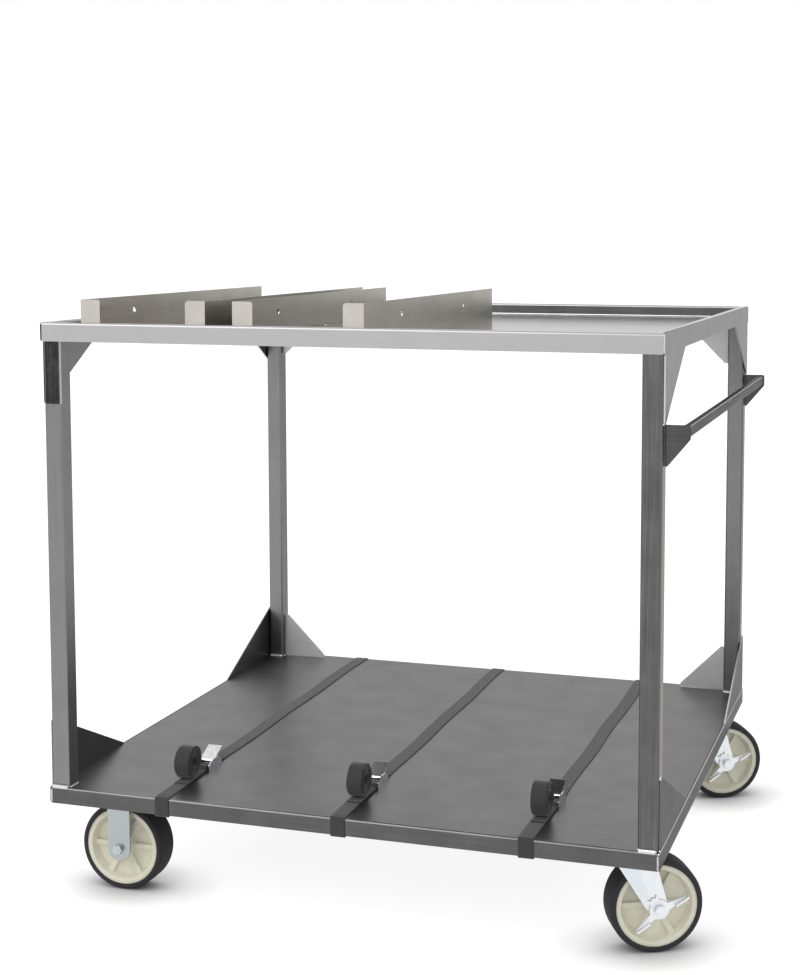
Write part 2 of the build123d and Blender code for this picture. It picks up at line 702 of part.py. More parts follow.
def caster_channel(x):
    """Channel under the lower deck that both casters of one end bolt to."""
    half = CHANNEL_WIDTH / 2
    wall = half - CHANNEL_SHEET
    floor = CASTER_HEIGHT + CHANNEL_SHEET
    section = Polygon(
        (-half, CASTER_HEIGHT),
        (half, CASTER_HEIGHT),
        (half, LOWER_UNDER),
        (wall, LOWER_UNDER),
        (wall, floor),
        (-wall, floor),
        (-wall, LOWER_UNDER),
        (-half, LOWER_UNDER),
        align=None,
    )
    reach = HALF_DEPTH - DECK_SHEET - CHANNEL_END_GAP
    channel = prism_y(section, -reach, reach)
    for _, sign in ENDS:
        for bx, by in bolt_places():
            hole = prism_z(Circle(BOLT_RADIUS + BOLT_CLEARANCE), CASTER_HEIGHT, floor)
            channel -= Pos(bx, sign * CASTER_Y + by, 0) * hole
    return Pos(x, 0, 0) * channel


def caster_fixings():
    """Bolts and nuts of all four casters, as two lists."""
    seat = CASTER_HEIGHT + CHANNEL_SHEET
    shank = prism_z(Circle(BOLT_RADIUS), PLATE_UNDER, seat + HEX_TALL + BOLT_RADIUS / 2)
    bolt = shank + prism_z(RegularPolygon(HEX_RADIUS, 6), PLATE_UNDER - BOLT_HEAD_TALL, PLATE_UNDER)
    nut = prism_z(RegularPolygon(HEX_RADIUS, 6) - Circle(BOLT_RADIUS + BOLT_CLEARANCE), seat, seat + HEX_TALL)
    spots = [
        Pos(x + bx, sign * CASTER_Y + by, 0)
        for x in (RIGID_X, SWIVEL_X)
        for _, sign in ENDS
        for bx, by in bolt_places()
    ]
    return [spot * bolt for spot in spots], [spot * nut for spot in spots]


# Tie-down straps, in (distance along the strap, height above the lower deck)

def forward_plane(x):
    """Strap plane whose first axis runs to the front."""
    return Plane(origin=(x, 0, LOWER_HEIGHT), x_dir=(0, -1, 0), z_dir=(-1, 0, 0))


def rearward_plane(x):
    """Strap plane whose first axis runs to the rear."""
    return Plane(origin=(x, 0, LOWER_HEIGHT), x_dir=(0, 1, 0), z_dir=(1, 0, 0))


def run_path(start, heading, moves):
    """Chain straight runs (length,) and tangent turns (radius, degrees) into one wire."""
    point = Vector(*start)
    direction = Vector(1, 0).rotate(Axis.Z, heading)
    edges = []
    for move in moves:
        if len(move) == 1:
            edge = Line(point, point + direction * move[0])
        else:
            edge = JernArc(point, direction, move[0], move[1])
        edges.append(edge)
        point = edge @ 1
        direction = edge % 1
    return Wire([edge.edge() for edge in edges])


def edge_wrap():
    """Moves from inside a turned-down edge, round its lower lip and up onto the deck."""
    return [
        (STRAP_TUCK,),
        ((DECK_SHEET + 2 * STRAP_SEAT + STRAP_THICK) / 2, -180),
        (LOWER_APRON - BEND_RADIUS,),
        (BEND_RADIUS + STRAP_LEVEL, -90),
    ]


def s_bend(rise, radius, angle):
    """Moves that climb by rise, and the distance that they cover."""
    turn = math.radians(angle)
    slope = (abs(rise) - 2 * radius * (1 - math.cos(turn))) / math.sin(turn)
    cover = 2 * radius * math.sin(turn) + slope * math.cos(turn)
    sign = math.copysign(1, rise)
    return [(radius, sign * angle), (slope,), (radius, -sign * angle)], cover


def wrap_start():
    """Point inside the turned-down edge where both webbings begin."""
    inside = -HALF_DEPTH + DECK_SHEET + STRAP_LEVEL
    return inside, STRAP_TUCK - LOWER_APRON


def webbing(plane, path):
    """Flat band swept along a path in its strap plane."""
    route = plane * path
    across = Plane(origin=route @ 0, x_dir=(1, 0, 0), z_dir=route % 0)
    return sweep(across * Rectangle(STRAP_WIDTH, STRAP_THICK), path=route)


def anchor_webbing(x):
    """Short webbing from the front edge to the buckle's bar, doubled back and sewn flat."""
    bar = -(BUCKLE_PLACE + BUCKLE_BAR_PLACE)
    drop_angle = 30
    drop = 2 * BAR_LOOP_RADIUS - PLY
    turn = math.radians(drop_angle)
    slope = (drop - 2 * BAR_LOOP_RADIUS * (1 - math.cos(turn))) / math.sin(turn)
    moves = edge_wrap() + [
        (bar + HALF_DEPTH - BEND_RADIUS,),
        (BAR_LOOP_RADIUS, 180 + drop_angle),
        (slope,),
        (BAR_LOOP_RADIUS, -drop_angle),
        (STRAP_RETURN,),
    ]
    return webbing(rearward_plane(x), run_path(wrap_start(), -90, moves))


def roll_moves():
    """Half turns of the rolled-up tail, each tighter than the one before."""
    return [(ROLL_RADIUS - half * ROLL_PITCH / 2, 180) for half in range(2 * ROLL_TURNS)]


def tail_path():
    """Long webbing: over the rear edge, through the buckle, over the bar and into the roll."""
    up_to_base, base_cover = s_bend(PASS_LEVEL - STRAP_LEVEL, 6, 15)
    up_to_crest, crest_cover = s_bend(CREST_LEVEL - PASS_LEVEL, 4, 35)
    down_to_tail, tail_cover = s_bend(TAIL_LEVEL - CREST_LEVEL, 4, 30)
    buckle_back = BUCKLE_PLACE - BUCKLE_LENGTH / 2
    crest_end = BUCKLE_PLACE + BUCKLE_BAR_PLACE - BAR_LOOP_RADIUS
    crest_run = 2 * BAR_LOOP_RADIUS + STRAP_THICK
    roll_start = BUCKLE_PLACE + ROLL_SETOFF
    moves = edge_wrap()
    moves.append((buckle_back - base_cover - STRAP_WIDTH / 2 + HALF_DEPTH - BEND_RADIUS,))
    moves += up_to_base
    moves.append((crest_end - crest_cover - buckle_back + STRAP_WIDTH / 2,))
    moves += up_to_crest
    moves.append((crest_run,))
    moves += down_to_tail
    moves.append((roll_start - crest_end - crest_run - tail_cover,))
    moves += roll_moves()
    return run_path(wrap_start(), -90, moves)


def roll_gap():
    """Least gap between neighbouring turns of the rolled tail, measured on points."""
    start = (0, 0)
    path = run_path(start, 0, roll_moves())
    count = 24 * ROLL_TURNS
    points = []
    for edge in path.edges():
        points += [edge @ (step / 12) for step in range(12)]
    least = min(
        (points[index] - points[other]).length
        for index in range(count)
        for other in range(index + 18, min(index + 31, count))
    )
    return least - STRAP_THICK


def buckle_frame(x):
    """Folded steel channel with shaped cheeks and an open front for the anchor bar."""
    half = BUCKLE_LENGTH / 2
    cheek = rounded(
        [
            (-half, 0),
            (half, 0),
            (half, BUCKLE_TALL * 0.6),
            (half * 0.25, BUCKLE_TALL),
            (-half * 0.45, BUCKLE_TALL),
            (-half, BUCKLE_TALL * 0.4),
        ],
        BUCKLE_CORNER,
    )
    cheek -= Pos(BUCKLE_BAR_PLACE, BAR_LEVEL) * Circle(BUCKLE_BAR_RADIUS)
    cheek -= Pos(CAM_PLACE, PIVOT_LEVEL) * Circle(CAM_PIN_RADIUS)
    inner = BUCKLE_HALF - BUCKLE_WALL
    above = Pos(0, BUCKLE_WALL + BUCKLE_TALL / 2) * Rectangle(2 * BUCKLE_LENGTH, BUCKLE_TALL)
    front = Pos(BUCKLE_BASE_END + BUCKLE_LENGTH / 2, 0) * Rectangle(BUCKLE_LENGTH, BUCKLE_TALL)
    frame = extrude(cheek, BUCKLE_HALF, both=True) - extrude(above + front, inner, both=True)
    return forward_plane(x).location * Pos(BUCKLE_PLACE, 0, 0) * frame


def buckle_rod(x, place, level, radius):
    """Rod across a buckle, flush with its cheeks."""
    rod = Pos(BUCKLE_PLACE + place, level, 0) * extrude(Circle(radius), BUCKLE_HALF, both=True)
    return forward_plane(x).location * rod


def cam_lever(x):
    """Spring lever: a grooved eccentric cam with a thumb plate."""
    phase = math.radians(CAM_PHASE)
    cam = Pos(CAM_OFFSET * math.cos(phase), CAM_OFFSET * math.sin(phase)) * Circle(CAM_RADIUS)
    plate = Pos(-THUMB_LENGTH / 2, CAM_RADIUS / 2) * RectangleRounded(THUMB_LENGTH, THUMB_THICK, THUMB_THICK / 2.2)
    outline = cam + Rot(0, 0, -THUMB_ANGLE) * plate
    for index in range(CAM_GROOVES):
        spread = CAM_PHASE + (index - (CAM_GROOVES - 1) / 2) * 22
        turn = math.radians(spread)
        groove = (
            CAM_OFFSET * math.cos(phase) + CAM_RADIUS * math.cos(turn),
            CAM_OFFSET * math.sin(phase) + CAM_RADIUS * math.sin(turn),
        )
        outline -= Pos(*groove) * Circle(CAM_GROOVE_RADIUS)
    outline -= Circle(CAM_PIN_RADIUS + RUNNING_CLEARANCE)
    lever = extrude(outline, BUCKLE_HALF - BUCKLE_WALL - THUMB_SIDE_GAP, both=True)
    return forward_plane(x).location * Pos(BUCKLE_PLACE + CAM_PLACE, PIVOT_LEVEL, 0) * lever


def strap_clamp(plane):
    """Plate behind a turned-down edge that pins the webbing's end, with a stud on each side."""
    level = -LOWER_APRON + STRAP_TUCK - CLAMP_TALL / 2
    seat = -HALF_DEPTH + DECK_SHEET
    plate_at = seat + 2 * STRAP_SEAT + STRAP_THICK
    face = Plane(origin=(plate_at, level, 0), x_dir=(0, 0, 1), z_dir=(1, 0, 0))
    clamp = extrude(face * RectangleRounded(CLAMP_WIDTH, CLAMP_TALL, CLAMP_STUD_RADIUS), CLAMP_SHEET)
    for sign in (-1, 1):
        spot = Pos(sign * (CLAMP_WIDTH / 2 - CLAMP_STUD_MARGIN), 0)
        clamp += extrude(face * spot * Circle(CLAMP_STUD_RADIUS), seat - plate_at)
    return plane.location * clamp


# The assembly

def frame_nodes():
    """Decks, panels, legs, handle and rails by node name."""
    nodes = {"top_deck": top_deck(), "top_deck_rims": top_rims(), "lower_deck": lower_deck()}
    nodes.update(end_panels())
    for end, y_sign in ENDS:
        for side, x_sign in SIDES:
            nodes[f"leg_{end}_{side}"] = leg(x_sign, y_sign)
        nodes["handle_bracket_" + end] = handle_bracket(y_sign)
    nodes["rear_gussets"] = rear_gussets()
    nodes["deck_stiffeners"] = [*top_stiffeners(), lower_stiffener()]
    nodes["handle_bar"] = handle_bar()
    for index, (edge, inward) in enumerate(cradle_edges()):
        nodes[f"retaining_rail_{index + 1}"] = retaining_rail(edge, inward)
    nodes["rail_rivets"] = rail_rivets()
    return nodes


def caster_nodes():
    """Casters and what bolts them on, by node name."""
    bolts, nuts = caster_fixings()
    nodes = {
        "caster_channel_left": caster_channel(RIGID_X),
        "caster_channel_right": caster_channel(SWIVEL_X),
        "caster_bolts": bolts,
        "caster_nuts": nuts,
        "rigid_axle_bolts": [],
        "rigid_axle_sleeves": [],
        "swivel_races": [],
        "kingpins": [],
    }
    hub_height = Pos(0, 0, WHEEL_RADIUS)
    trail = Pos(SWIVEL_TRAIL, 0, WHEEL_RADIUS)
    for end, sign in ENDS:
        rigid = Pos(RIGID_X, sign * CASTER_Y, 0)
        nodes["rigid_fork_" + end] = rigid * rigid_fork()
        nodes["rigid_hub_" + end] = rigid * hub_height * hub()
        nodes["rigid_tyre_" + end] = rigid * hub_height * tyre()
        nodes["rigid_axle_bolts"] += [rigid * hub_height * item for item in axle_bolt(FORK_HALF)]
        nodes["rigid_axle_sleeves"].append(rigid * hub_height * axle_sleeve())
        fixed = Pos(SWIVEL_X, sign * CASTER_Y, 0)
        turned = fixed * Rot(0, 0, SWIVEL_ANGLE)
        nodes["swivel_plate_" + end] = fixed * swivel_plate()
        nodes["swivel_races"].append(fixed * swivel_race())
        nodes["kingpins"].append(fixed * kingpin())
        nodes["swivel_fork_" + end] = turned * swivel_fork()
        nodes["swivel_hub_" + end] = turned * trail * hub()
        nodes["swivel_tyre_" + end] = turned * trail * tyre()
        nodes["swivel_sleeve_" + end] = turned * trail * axle_sleeve()
        lever_face = FORK_HALF + LEVER_SHEET + 2 * LEVER_GAP
        nodes["swivel_axle_" + end] = [turned * trail * item for item in axle_bolt(lever_face)]
        nodes["brake_lever_" + end] = turned * brake_lever()
    return nodes


def strap_nodes():
    """Tie-down straps and their buckles by node name."""
    nodes = {
        "strap_clamps": [strap_clamp(make(x)) for x in STRAP_STATIONS for make in (forward_plane, rearward_plane)],
        "buckle_frames": [buckle_frame(x) for x in STRAP_STATIONS],
        "buckle_bars": [buckle_rod(x, BUCKLE_BAR_PLACE, BAR_LEVEL, BUCKLE_BAR_RADIUS) for x in STRAP_STATIONS],
        "buckle_pins": [buckle_rod(x, CAM_PLACE, PIVOT_LEVEL, CAM_PIN_RADIUS) for x in STRAP_STATIONS],
        "anchor_webbings": [anchor_webbing(x) for x in STRAP_STATIONS],
    }
    tail = tail_path()
    for index, x in enumerate(STRAP_STATIONS):
        nodes[f"strap_webbing_{index + 1}"] = webbing(forward_plane(x), tail)
        nodes[f"cam_lever_{index + 1}"] = cam_lever(x)
    return nodes


def main():
    """Write one STEP file per node, with the origin under the middle of the cart."""
    os.makedirs("parts", exist_ok=True)
    for nodes in (frame_nodes(), caster_nodes(), strap_nodes()):
        for name, shape in nodes.items():
            pieces = shape if isinstance(shape, list) else [shape]
            solids = [Pos(-CENTRE_X, 0, 0) * solid for piece in pieces for solid in piece.solids()]
            export_step(Compound(solids), os.path.join("parts", name + ".step"))
    print(f"rolled strap: least gap between turns {roll_gap():.2f} mm")


main()
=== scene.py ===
"""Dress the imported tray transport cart: eased steel, welds, wheels, webbing and a pale studio.

Every length is in metres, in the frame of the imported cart: +X runs to the push handle, -Y is the
loading side and +Z is up.
"""

import json
import logging
import math
from contextlib import contextmanager
from dataclasses import dataclass, field
from enum import Enum
from typing import Any, Callable, Iterable, Iterator

import bpy
from bpy.types import Material, NodeSocket, NodeTree, Object
from mathutils import Matrix, Vector

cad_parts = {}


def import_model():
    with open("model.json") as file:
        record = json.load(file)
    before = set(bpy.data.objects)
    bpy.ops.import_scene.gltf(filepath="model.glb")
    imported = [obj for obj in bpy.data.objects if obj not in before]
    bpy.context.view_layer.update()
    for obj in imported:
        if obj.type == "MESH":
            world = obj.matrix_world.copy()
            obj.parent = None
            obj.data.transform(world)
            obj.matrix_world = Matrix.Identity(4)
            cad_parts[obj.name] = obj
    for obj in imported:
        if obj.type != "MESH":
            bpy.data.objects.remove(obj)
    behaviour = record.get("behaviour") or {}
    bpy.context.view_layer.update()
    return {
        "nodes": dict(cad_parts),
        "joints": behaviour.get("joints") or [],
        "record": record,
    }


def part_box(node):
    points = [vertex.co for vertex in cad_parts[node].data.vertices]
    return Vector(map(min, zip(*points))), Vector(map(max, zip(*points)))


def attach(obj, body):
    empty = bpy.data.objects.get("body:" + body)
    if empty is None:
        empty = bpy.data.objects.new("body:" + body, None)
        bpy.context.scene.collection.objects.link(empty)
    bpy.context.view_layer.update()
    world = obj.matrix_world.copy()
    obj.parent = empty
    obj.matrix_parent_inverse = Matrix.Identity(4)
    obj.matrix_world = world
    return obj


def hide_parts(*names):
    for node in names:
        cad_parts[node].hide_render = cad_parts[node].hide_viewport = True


LOG = logging.getLogger("cart")
MM = 0.001
CART = "cart"
ENDS = ("front", "rear")
SIDES = ("left", "right")

# Least part of a face's normal along an axis for the face to count as looking that way.
FACING = 0.9

Pair = tuple[float, float]
Spot = tuple[float, float, float]
Line = tuple[Spot, Spot]
Test = Callable[[Vector, Vector], bool]


class Grain(Enum):
    """Direction that a brushed surface was polished along."""

    LENGTH = (1.0, 0.0, 0.0)
    DEPTH = (0.0, 1.0, 0.0)
    HEIGHT = (0.0, 0.0, 1.0)


class Zone(Enum):
    """Part of a piece with a tone of its own, told by the way its faces look: mostly painted light and shade.
    """

    TOP = "top"
    BEND = "bend"
    RIDGE = "ridge"
    SIDE = "side"
    FRONT = "front"
    INNER = "inner"
    FOLD = "fold"
    HEAD = "head"
    HEAD_CORNER = "head corner"

    def holds(self, centre: Vector, normal: Vector) -> bool:
        """Tell whether a face belongs to the zone.

        Args:
            centre: Middle of the face.
            normal: Direction that the face looks in.

        Returns:
            True where it does.
        """
        flat, ridge, upright = 0.97, 0.87, 0.1
        fold_least, fold_most = 0.004, 0.6
        head_height = 0.8
        high = centre.z > head_height
        steepest = max(abs(part) for part in normal)
        return {
            Zone.TOP: normal.z > flat,
            Zone.BEND: steepest < flat and normal.z > -upright,
            Zone.RIDGE: steepest < ridge and normal.z > 0.0,
            Zone.SIDE: abs(normal.x) > flat,
            Zone.FRONT: normal.y < -flat,
            Zone.INNER: abs(normal.z) < upright and normal.xy.dot(centre.xy) < 0,
            Zone.FOLD: fold_least < abs(normal.z) < fold_most,
            Zone.HEAD: high and normal.y < -flat,
            Zone.HEAD_CORNER: high and steepest < flat and normal.x > 0.0 > normal.y,
        }[self]


class Element(Enum):
    """Kind of mesh element that an edit starts from."""

    FACE = "FACE"
    EDGE = "EDGE"


# Shader and modelling helpers


def linear(code: str) -> tuple[float, ...]:
    """Turn an sRGB hex colour into linear light.

    Args:
        code: Colour as six hex digits, or as two for a grey.

    Returns:
        Linear red, green and blue with full alpha.
    """
    digits = code if len(code) > 2 else 3 * code
    parts = [int(digits[i:i + 2], 16) / 255 for i in (0, 2, 4)]
    return (*[p / 12.92 if p <= 0.04045 else ((p + 0.055) / 1.055) ** 2.4 for p in parts], 1.0)


def add_node(
    tree: NodeTree,
    kind: str,
    inputs: dict[Any, Any] | None = None,
    output: int | str = 0,
    stops: Iterable[tuple[float, str]] = (),
    **settings: Any,
) -> NodeSocket | None:
    """Add one shader node with its settings, values and links.

    Args:
        tree: Node tree that gets the node.
        kind: Blender's name of the node type, without its prefix.
        inputs: Socket name or number, with the value or output socket that feeds it.
        output: Name or number of the output to return.
        stops: Places and hex colours, where the node has a colour ramp.
        settings: Attributes of the node.

    Returns:
        The output, or None for a node without any.
    """
    node = tree.nodes.new("ShaderNode" + kind)
    for name, value in settings.items():
        setattr(node, name, value)
    for index, (spot, code) in enumerate(stops):
        elements = node.color_ramp.elements
        stop = elements[index] if index < 2 else elements.new(spot)
        stop.position = spot
        stop.color = linear(code)
    for socket, value in (inputs or {}).items():
        if isinstance(value, NodeSocket):
            tree.links.new(value, node.inputs[socket])
        else:
            node.inputs[socket].default_value = value
    return node.outputs[output] if node.outputs else None


def pick(obj: Object) -> None:
    """Make an object the only selected one, and the active one.

    Args:
        obj: The object.
    """
    bpy.ops.object.select_all(action="DESELECT")
    obj.select_set(True)
    bpy.context.view_layer.objects.active = obj


def apply_modifier(obj: Object, kind: str, **settings: Any) -> None:
    """Add a modifier to a piece and apply it.

    Args:
        obj: Piece that gets the modifier.
        kind: Blender's name of the modifier type.
        settings: Attributes of the modifier.
    """
    pick(obj)
    modifier = obj.modifiers.new(kind.lower(), kind)
    for name, value in settings.items():
        setattr(modifier, name, value)
    bpy.ops.object.modifier_apply(modifier=modifier.name)


def round_edges(obj: Object, width: float, sharp: float, **settings: Any) -> None:
    """Round the sharp edges of a piece.

    Args:
        obj: Piece to round.
        width: Width of the rounding.
        sharp: Angle in degrees from which an edge counts as sharp.
        settings: Other attributes of the bevel.
    """
    angle = math.radians(sharp)
    apply_modifier(obj, "BEVEL", width=width, segments=2, limit_method="ANGLE", angle_limit=angle, **settings)


@contextmanager
def editing(
    obj: Object, test: Test = lambda first, second: True, element: Element = Element.FACE
) -> Iterator[None]:
    """Stay in edit mode with the elements selected that pass a test.

    Args:
        obj: Piece to edit.
        test: Takes a face's centre and normal, or an edge's two ends.
        element: Whether faces or edges are picked.

    Yields:
        Once, for the edit.
    """
    pick(obj)
    bpy.ops.object.mode_set(mode="EDIT")
    bpy.ops.mesh.select_mode(type=element.value)
    bpy.ops.mesh.select_all(action="DESELECT")
    bpy.ops.object.mode_set(mode="OBJECT")
    if element is Element.FACE:
        for face in obj.data.polygons:
            face.select = test(face.center, face.normal)
    else:
        for edge in obj.data.edges:
            edge.select = test(*[obj.data.vertices[i].co for i in edge.vertices])
    bpy.ops.object.mode_set(mode="EDIT")
    yield
    bpy.ops.object.mode_set(mode="OBJECT")


def tidy(obj: Object, smooth: float, merge: float = 0.001 * MM) -> None:
    """Merge doubles, point faces outwards and smooth shallow edges.

    Args:
        obj: Finished piece.
        smooth: Angle in degrees up to which an edge is shaded smooth.
        merge: Points closer than this become one.
    """
    with editing(obj):
        bpy.ops.mesh.remove_doubles(threshold=merge)
        bpy.ops.mesh.normals_make_consistent(inside=False)
    bpy.ops.object.shade_smooth_by_angle(angle=math.radians(smooth))


def shape(name: str, add: Callable[..., Any], scale: Spot = (1, 1, 1), **settings: Any) -> Object:
    """Add a primitive, with its place, turn and scale in its mesh.

    Args:
        name: Name of the piece.
        add: Blender's operator that adds it.
        scale: Scale along its own axes.
        settings: Arguments of the operator.

    Returns:
        The new piece.
    """
    bpy.ops.object.select_all(action="DESELECT")
    add(**settings)
    obj = bpy.context.object
    obj.name = name
    obj.scale = scale
    bpy.ops.object.transform_apply(location=True, rotation=True, scale=True)
    return obj


def copy_of(obj: Object, name: str, matrix: Matrix | None = None) -> Object:
    """Copy a piece with a mesh of its own.

    Args:
        obj: Piece to copy.
        name: Name of the copy.
        matrix: Move that is applied to the copy's mesh.

    Returns:
        The copy, in the scene.
    """
    copy = bpy.data.objects.new(name, obj.data.copy())
    copy.data.materials.clear()
    if matrix is not None:
        copy.data.transform(matrix)
    bpy.context.scene.collection.objects.link(copy)
    return copy


def join(pieces: list[Object], name: str) -> Object:
    """Join pieces into one.

    Args:
        pieces: Pieces of the same finish.
        name: Name of the whole.

    Returns:
        The joined piece.
    """
    pick(pieces[0])
    for piece in pieces:
        piece.select_set(True)
    bpy.ops.object.join()
    pieces[0].name = name
    return pieces[0]


def lay(unit: Object, lines: Iterable[Line], pitch: float, name: str) -> Object:
    """Lay copies of a unit along lines, and take the unit away.

    Args:
        unit: Small piece that lies along X.
        lines: Start and end of every row.
        pitch: About how far apart the copies lie.
        name: Name of the whole.

    Returns:
        All rows as one piece.
    """
    rows = []
    for start, end in lines:
        run = Vector(end) - Vector(start)
        count = max(2, round(run.length / pitch))
        step = (run.length / count, 0, 0)
        row = copy_of(unit, "row")
        apply_modifier(
            row, "ARRAY", count=count, use_relative_offset=False, use_constant_offset=True,
            constant_offset_displace=step,
        )
        turn = run.to_track_quat("X", "Z").to_matrix().to_4x4()
        row.data.transform(Matrix.Translation(Vector(start) + run / count / 2) @ turn)
        rows.append(row)
    bpy.data.objects.remove(unit)
    return join(rows, name)


def place(
    obj: Object, body: str, finishes: Iterable["Finish"], replaces: Iterable[str] = ()
) -> None:
    """Finish a piece and let it ride on its body.

    Args:
        obj: Finished piece, with its place in its mesh.
        body: Body that carries it.
        finishes: Finishes in the order of the mesh's material numbers.
        replaces: Nodes that it stands for.
    """
    for finish in finishes:
        obj.data.materials.append(finish.material())
    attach(obj, body)
    if replaces:
        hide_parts(*replaces)
    LOG.info("%s rides on %s", obj.name, body)


# Finishes


@dataclass(frozen=True)
class Finish:
    """A named surface finish that makes its material once.

    Its tones stand at even steps over a span of a pattern, and its roughness runs over another span.
    The relief is the strength of a bump of the given depth.
    """

    name: str
    tones: tuple[str, ...]
    roughness: Pair = (0.28, 0.42)
    span: Pair = (0.3, 0.7)
    gloss_span: Pair = (0.3, 0.7)
    relief: float = 0.0
    depth: float = 0.3 * MM

    def material(self) -> Material:
        """Find or build the finish's material.

        Returns:
            The material.
        """
        found = bpy.data.materials.get(self.name)
        if found is None:
            found = bpy.data.materials.new(self.name)
            found.use_nodes = True
            found.node_tree.nodes.clear()
            add_node(found.node_tree, "OutputMaterial", {"Surface": self.shade(found.node_tree)})
        return found

    def shade(self, tree: NodeTree) -> NodeSocket:
        """Build the finish's shader in a node tree and return its output."""
        raise NotImplementedError

    def surface(
        self, tree: NodeTree, tone: NodeSocket, gloss: NodeSocket, height: NodeSocket, values: dict[str, Any]
    ) -> NodeSocket:
        """Let patterns drive the colour, the roughness and the relief of a shader.

        Args:
            tree: Node tree of the material.
            tone: Pattern that picks the tone.
            gloss: Pattern that picks the roughness, where it isn't even.
            height: Pattern that stands out.
            values: Other values of the shader.

        Returns:
            The shader's output.
        """
        first, last = self.span
        step = (last - first) / (len(self.tones) - 1)
        stops = [(first + index * step, code) for index, code in enumerate(self.tones)]
        smooth, dull = self.roughness
        inputs = {"Base Color": add_node(tree, "ValToRGB", {"Fac": tone}, stops=stops), "Roughness": smooth}
        if dull > smooth:
            least, most = self.gloss_span
            ends = {"From Min": least, "From Max": most, "To Min": smooth, "To Max": dull}
            inputs["Roughness"] = add_node(tree, "MapRange", {"Value": gloss, **ends})
        if self.relief:
            bump = {"Height": height, "Strength": self.relief, "Distance": self.depth}
            inputs["Normal"] = add_node(tree, "Bump", bump)
        return add_node(tree, "BsdfPrincipled", {**inputs, **values})


@dataclass(frozen=True)
class BrushedSteel(Finish):
    """Stainless sheet or tube, belt-polished: long fine scratches and a cloudy tone along one direction.

    Real polishing scratches are about 0.1 mm apart, too fine to show, so they are drawn 1.6 mm wide.
    The scratches also hold back the mirror look that smooth metal has at a flat view.
    """

    relief: float = 0.06
    grain: Grain = Grain.LENGTH
    scratch_width: float = 1.6 * MM
    scratch_length: float = 140.0 * MM
    cloud: float = 60.0 * MM
    cloud_share: float = 0.45
    flat_view: str = "bc"

    def shade(self, tree: NodeTree) -> NodeSocket:
        """Let scratches and clouds drive the tone, and scratches the roughness and a slight relief.

        Args:
            tree: Node tree of the material.

        Returns:
            The shader's output.
        """
        spot = add_node(tree, "TexCoord", output="Object")
        scale = [1 / (self.scratch_length if along else self.scratch_width) for along in self.grain.value]
        stretched = add_node(tree, "Mapping", {"Vector": spot, "Scale": scale})
        thin = {"Vector": stretched, "Scale": 1.0, "Detail": 3.0, "Roughness": 0.65}
        broad = {"Vector": spot, "Scale": 1 / self.cloud, "Detail": 5.0, "Roughness": 0.6}
        scratches, clouds = [add_node(tree, "TexNoise", noise) for noise in (thin, broad)]
        both = add_node(tree, "Mix", {0: self.cloud_share, 2: scratches, 3: clouds}, data_type="FLOAT")
        metal = {"Metallic": 1.0, "Specular Tint": linear(self.flat_view)}
        return self.surface(tree, both, scratches, scratches, metal)


@dataclass(frozen=True)
class MottledFinish(Finish):
    """A finish with one soft pattern all over, and a finer one for the relief where it has a grain."""

    mottle: float = 9.0 * MM
    detail: float = 2.0
    fineness: float = 0.5
    grain: float = 0.0
    values: tuple[tuple[str, float], ...] = ()

    def shade(self, tree: NodeTree) -> NodeSocket:
        """Let the mottle drive the tone, the roughness and the relief, unless a grain does the last.

        Args:
            tree: Node tree of the material.

        Returns:
            The shader's output.
        """
        spot = add_node(tree, "TexCoord", output="Object")
        noise = {"Vector": spot, "Scale": 1 / self.mottle, "Detail": self.detail, "Roughness": self.fineness}
        height = mottle = add_node(tree, "TexNoise", noise)
        if self.grain:
            height = add_node(tree, "TexNoise", {"Vector": spot, "Scale": 1 / self.grain, "Detail": 2.0})
        return self.surface(tree, mottle, mottle, height, dict(self.values))


@dataclass(frozen=True)
class PlatedSteel(MottledFinish):
    """Pressed steel with a bright zinc or chrome plate: faint spangle and a soft gloss."""

    roughness: Pair = (0.27, 0.31)
    values: tuple[tuple[str, float], ...] = (("Metallic", 1.0),)


@dataclass(frozen=True)
class MouldedPlastic(MottledFinish):
    """Polyolefin wheel core, injection moulded: a satin cream with faint flow clouds and a fine grain."""

    roughness: Pair = (0.36, 0.56)
    gloss_span: Pair = (0.0, 1.0)
    relief: float = 0.06
    depth: float = 0.2 * MM
    mottle: float = 22.0 * MM
    detail: float = 4.0
    grain: float = 1.4 * MM
    values: tuple[tuple[str, float], ...] = (("IOR", 1.49),)


@dataclass(frozen=True)
class Rubber(MottledFinish):
    """Moulded tyre rubber: near black with a blue cast, lighter and dull where dust sits on it."""

    roughness: Pair = (0.34, 0.62)
    span: Pair = (0.42, 0.8)
    gloss_span: Pair = (0.0, 1.0)
    relief: float = 0.1
    mottle: float = 16.0 * MM
    detail: float = 6.0
    fineness: float = 0.65
    values: tuple[tuple[str, float], ...] = (("Specular IOR Level", 0.1),)


@dataclass(frozen=True)
class Thread(MottledFinish):
    """Bonded polyester sewing thread: dark and slightly shiny, with tones from the twist of its plies."""

    roughness: Pair = (0.55, 0.55)
    mottle: float = 0.6 * MM


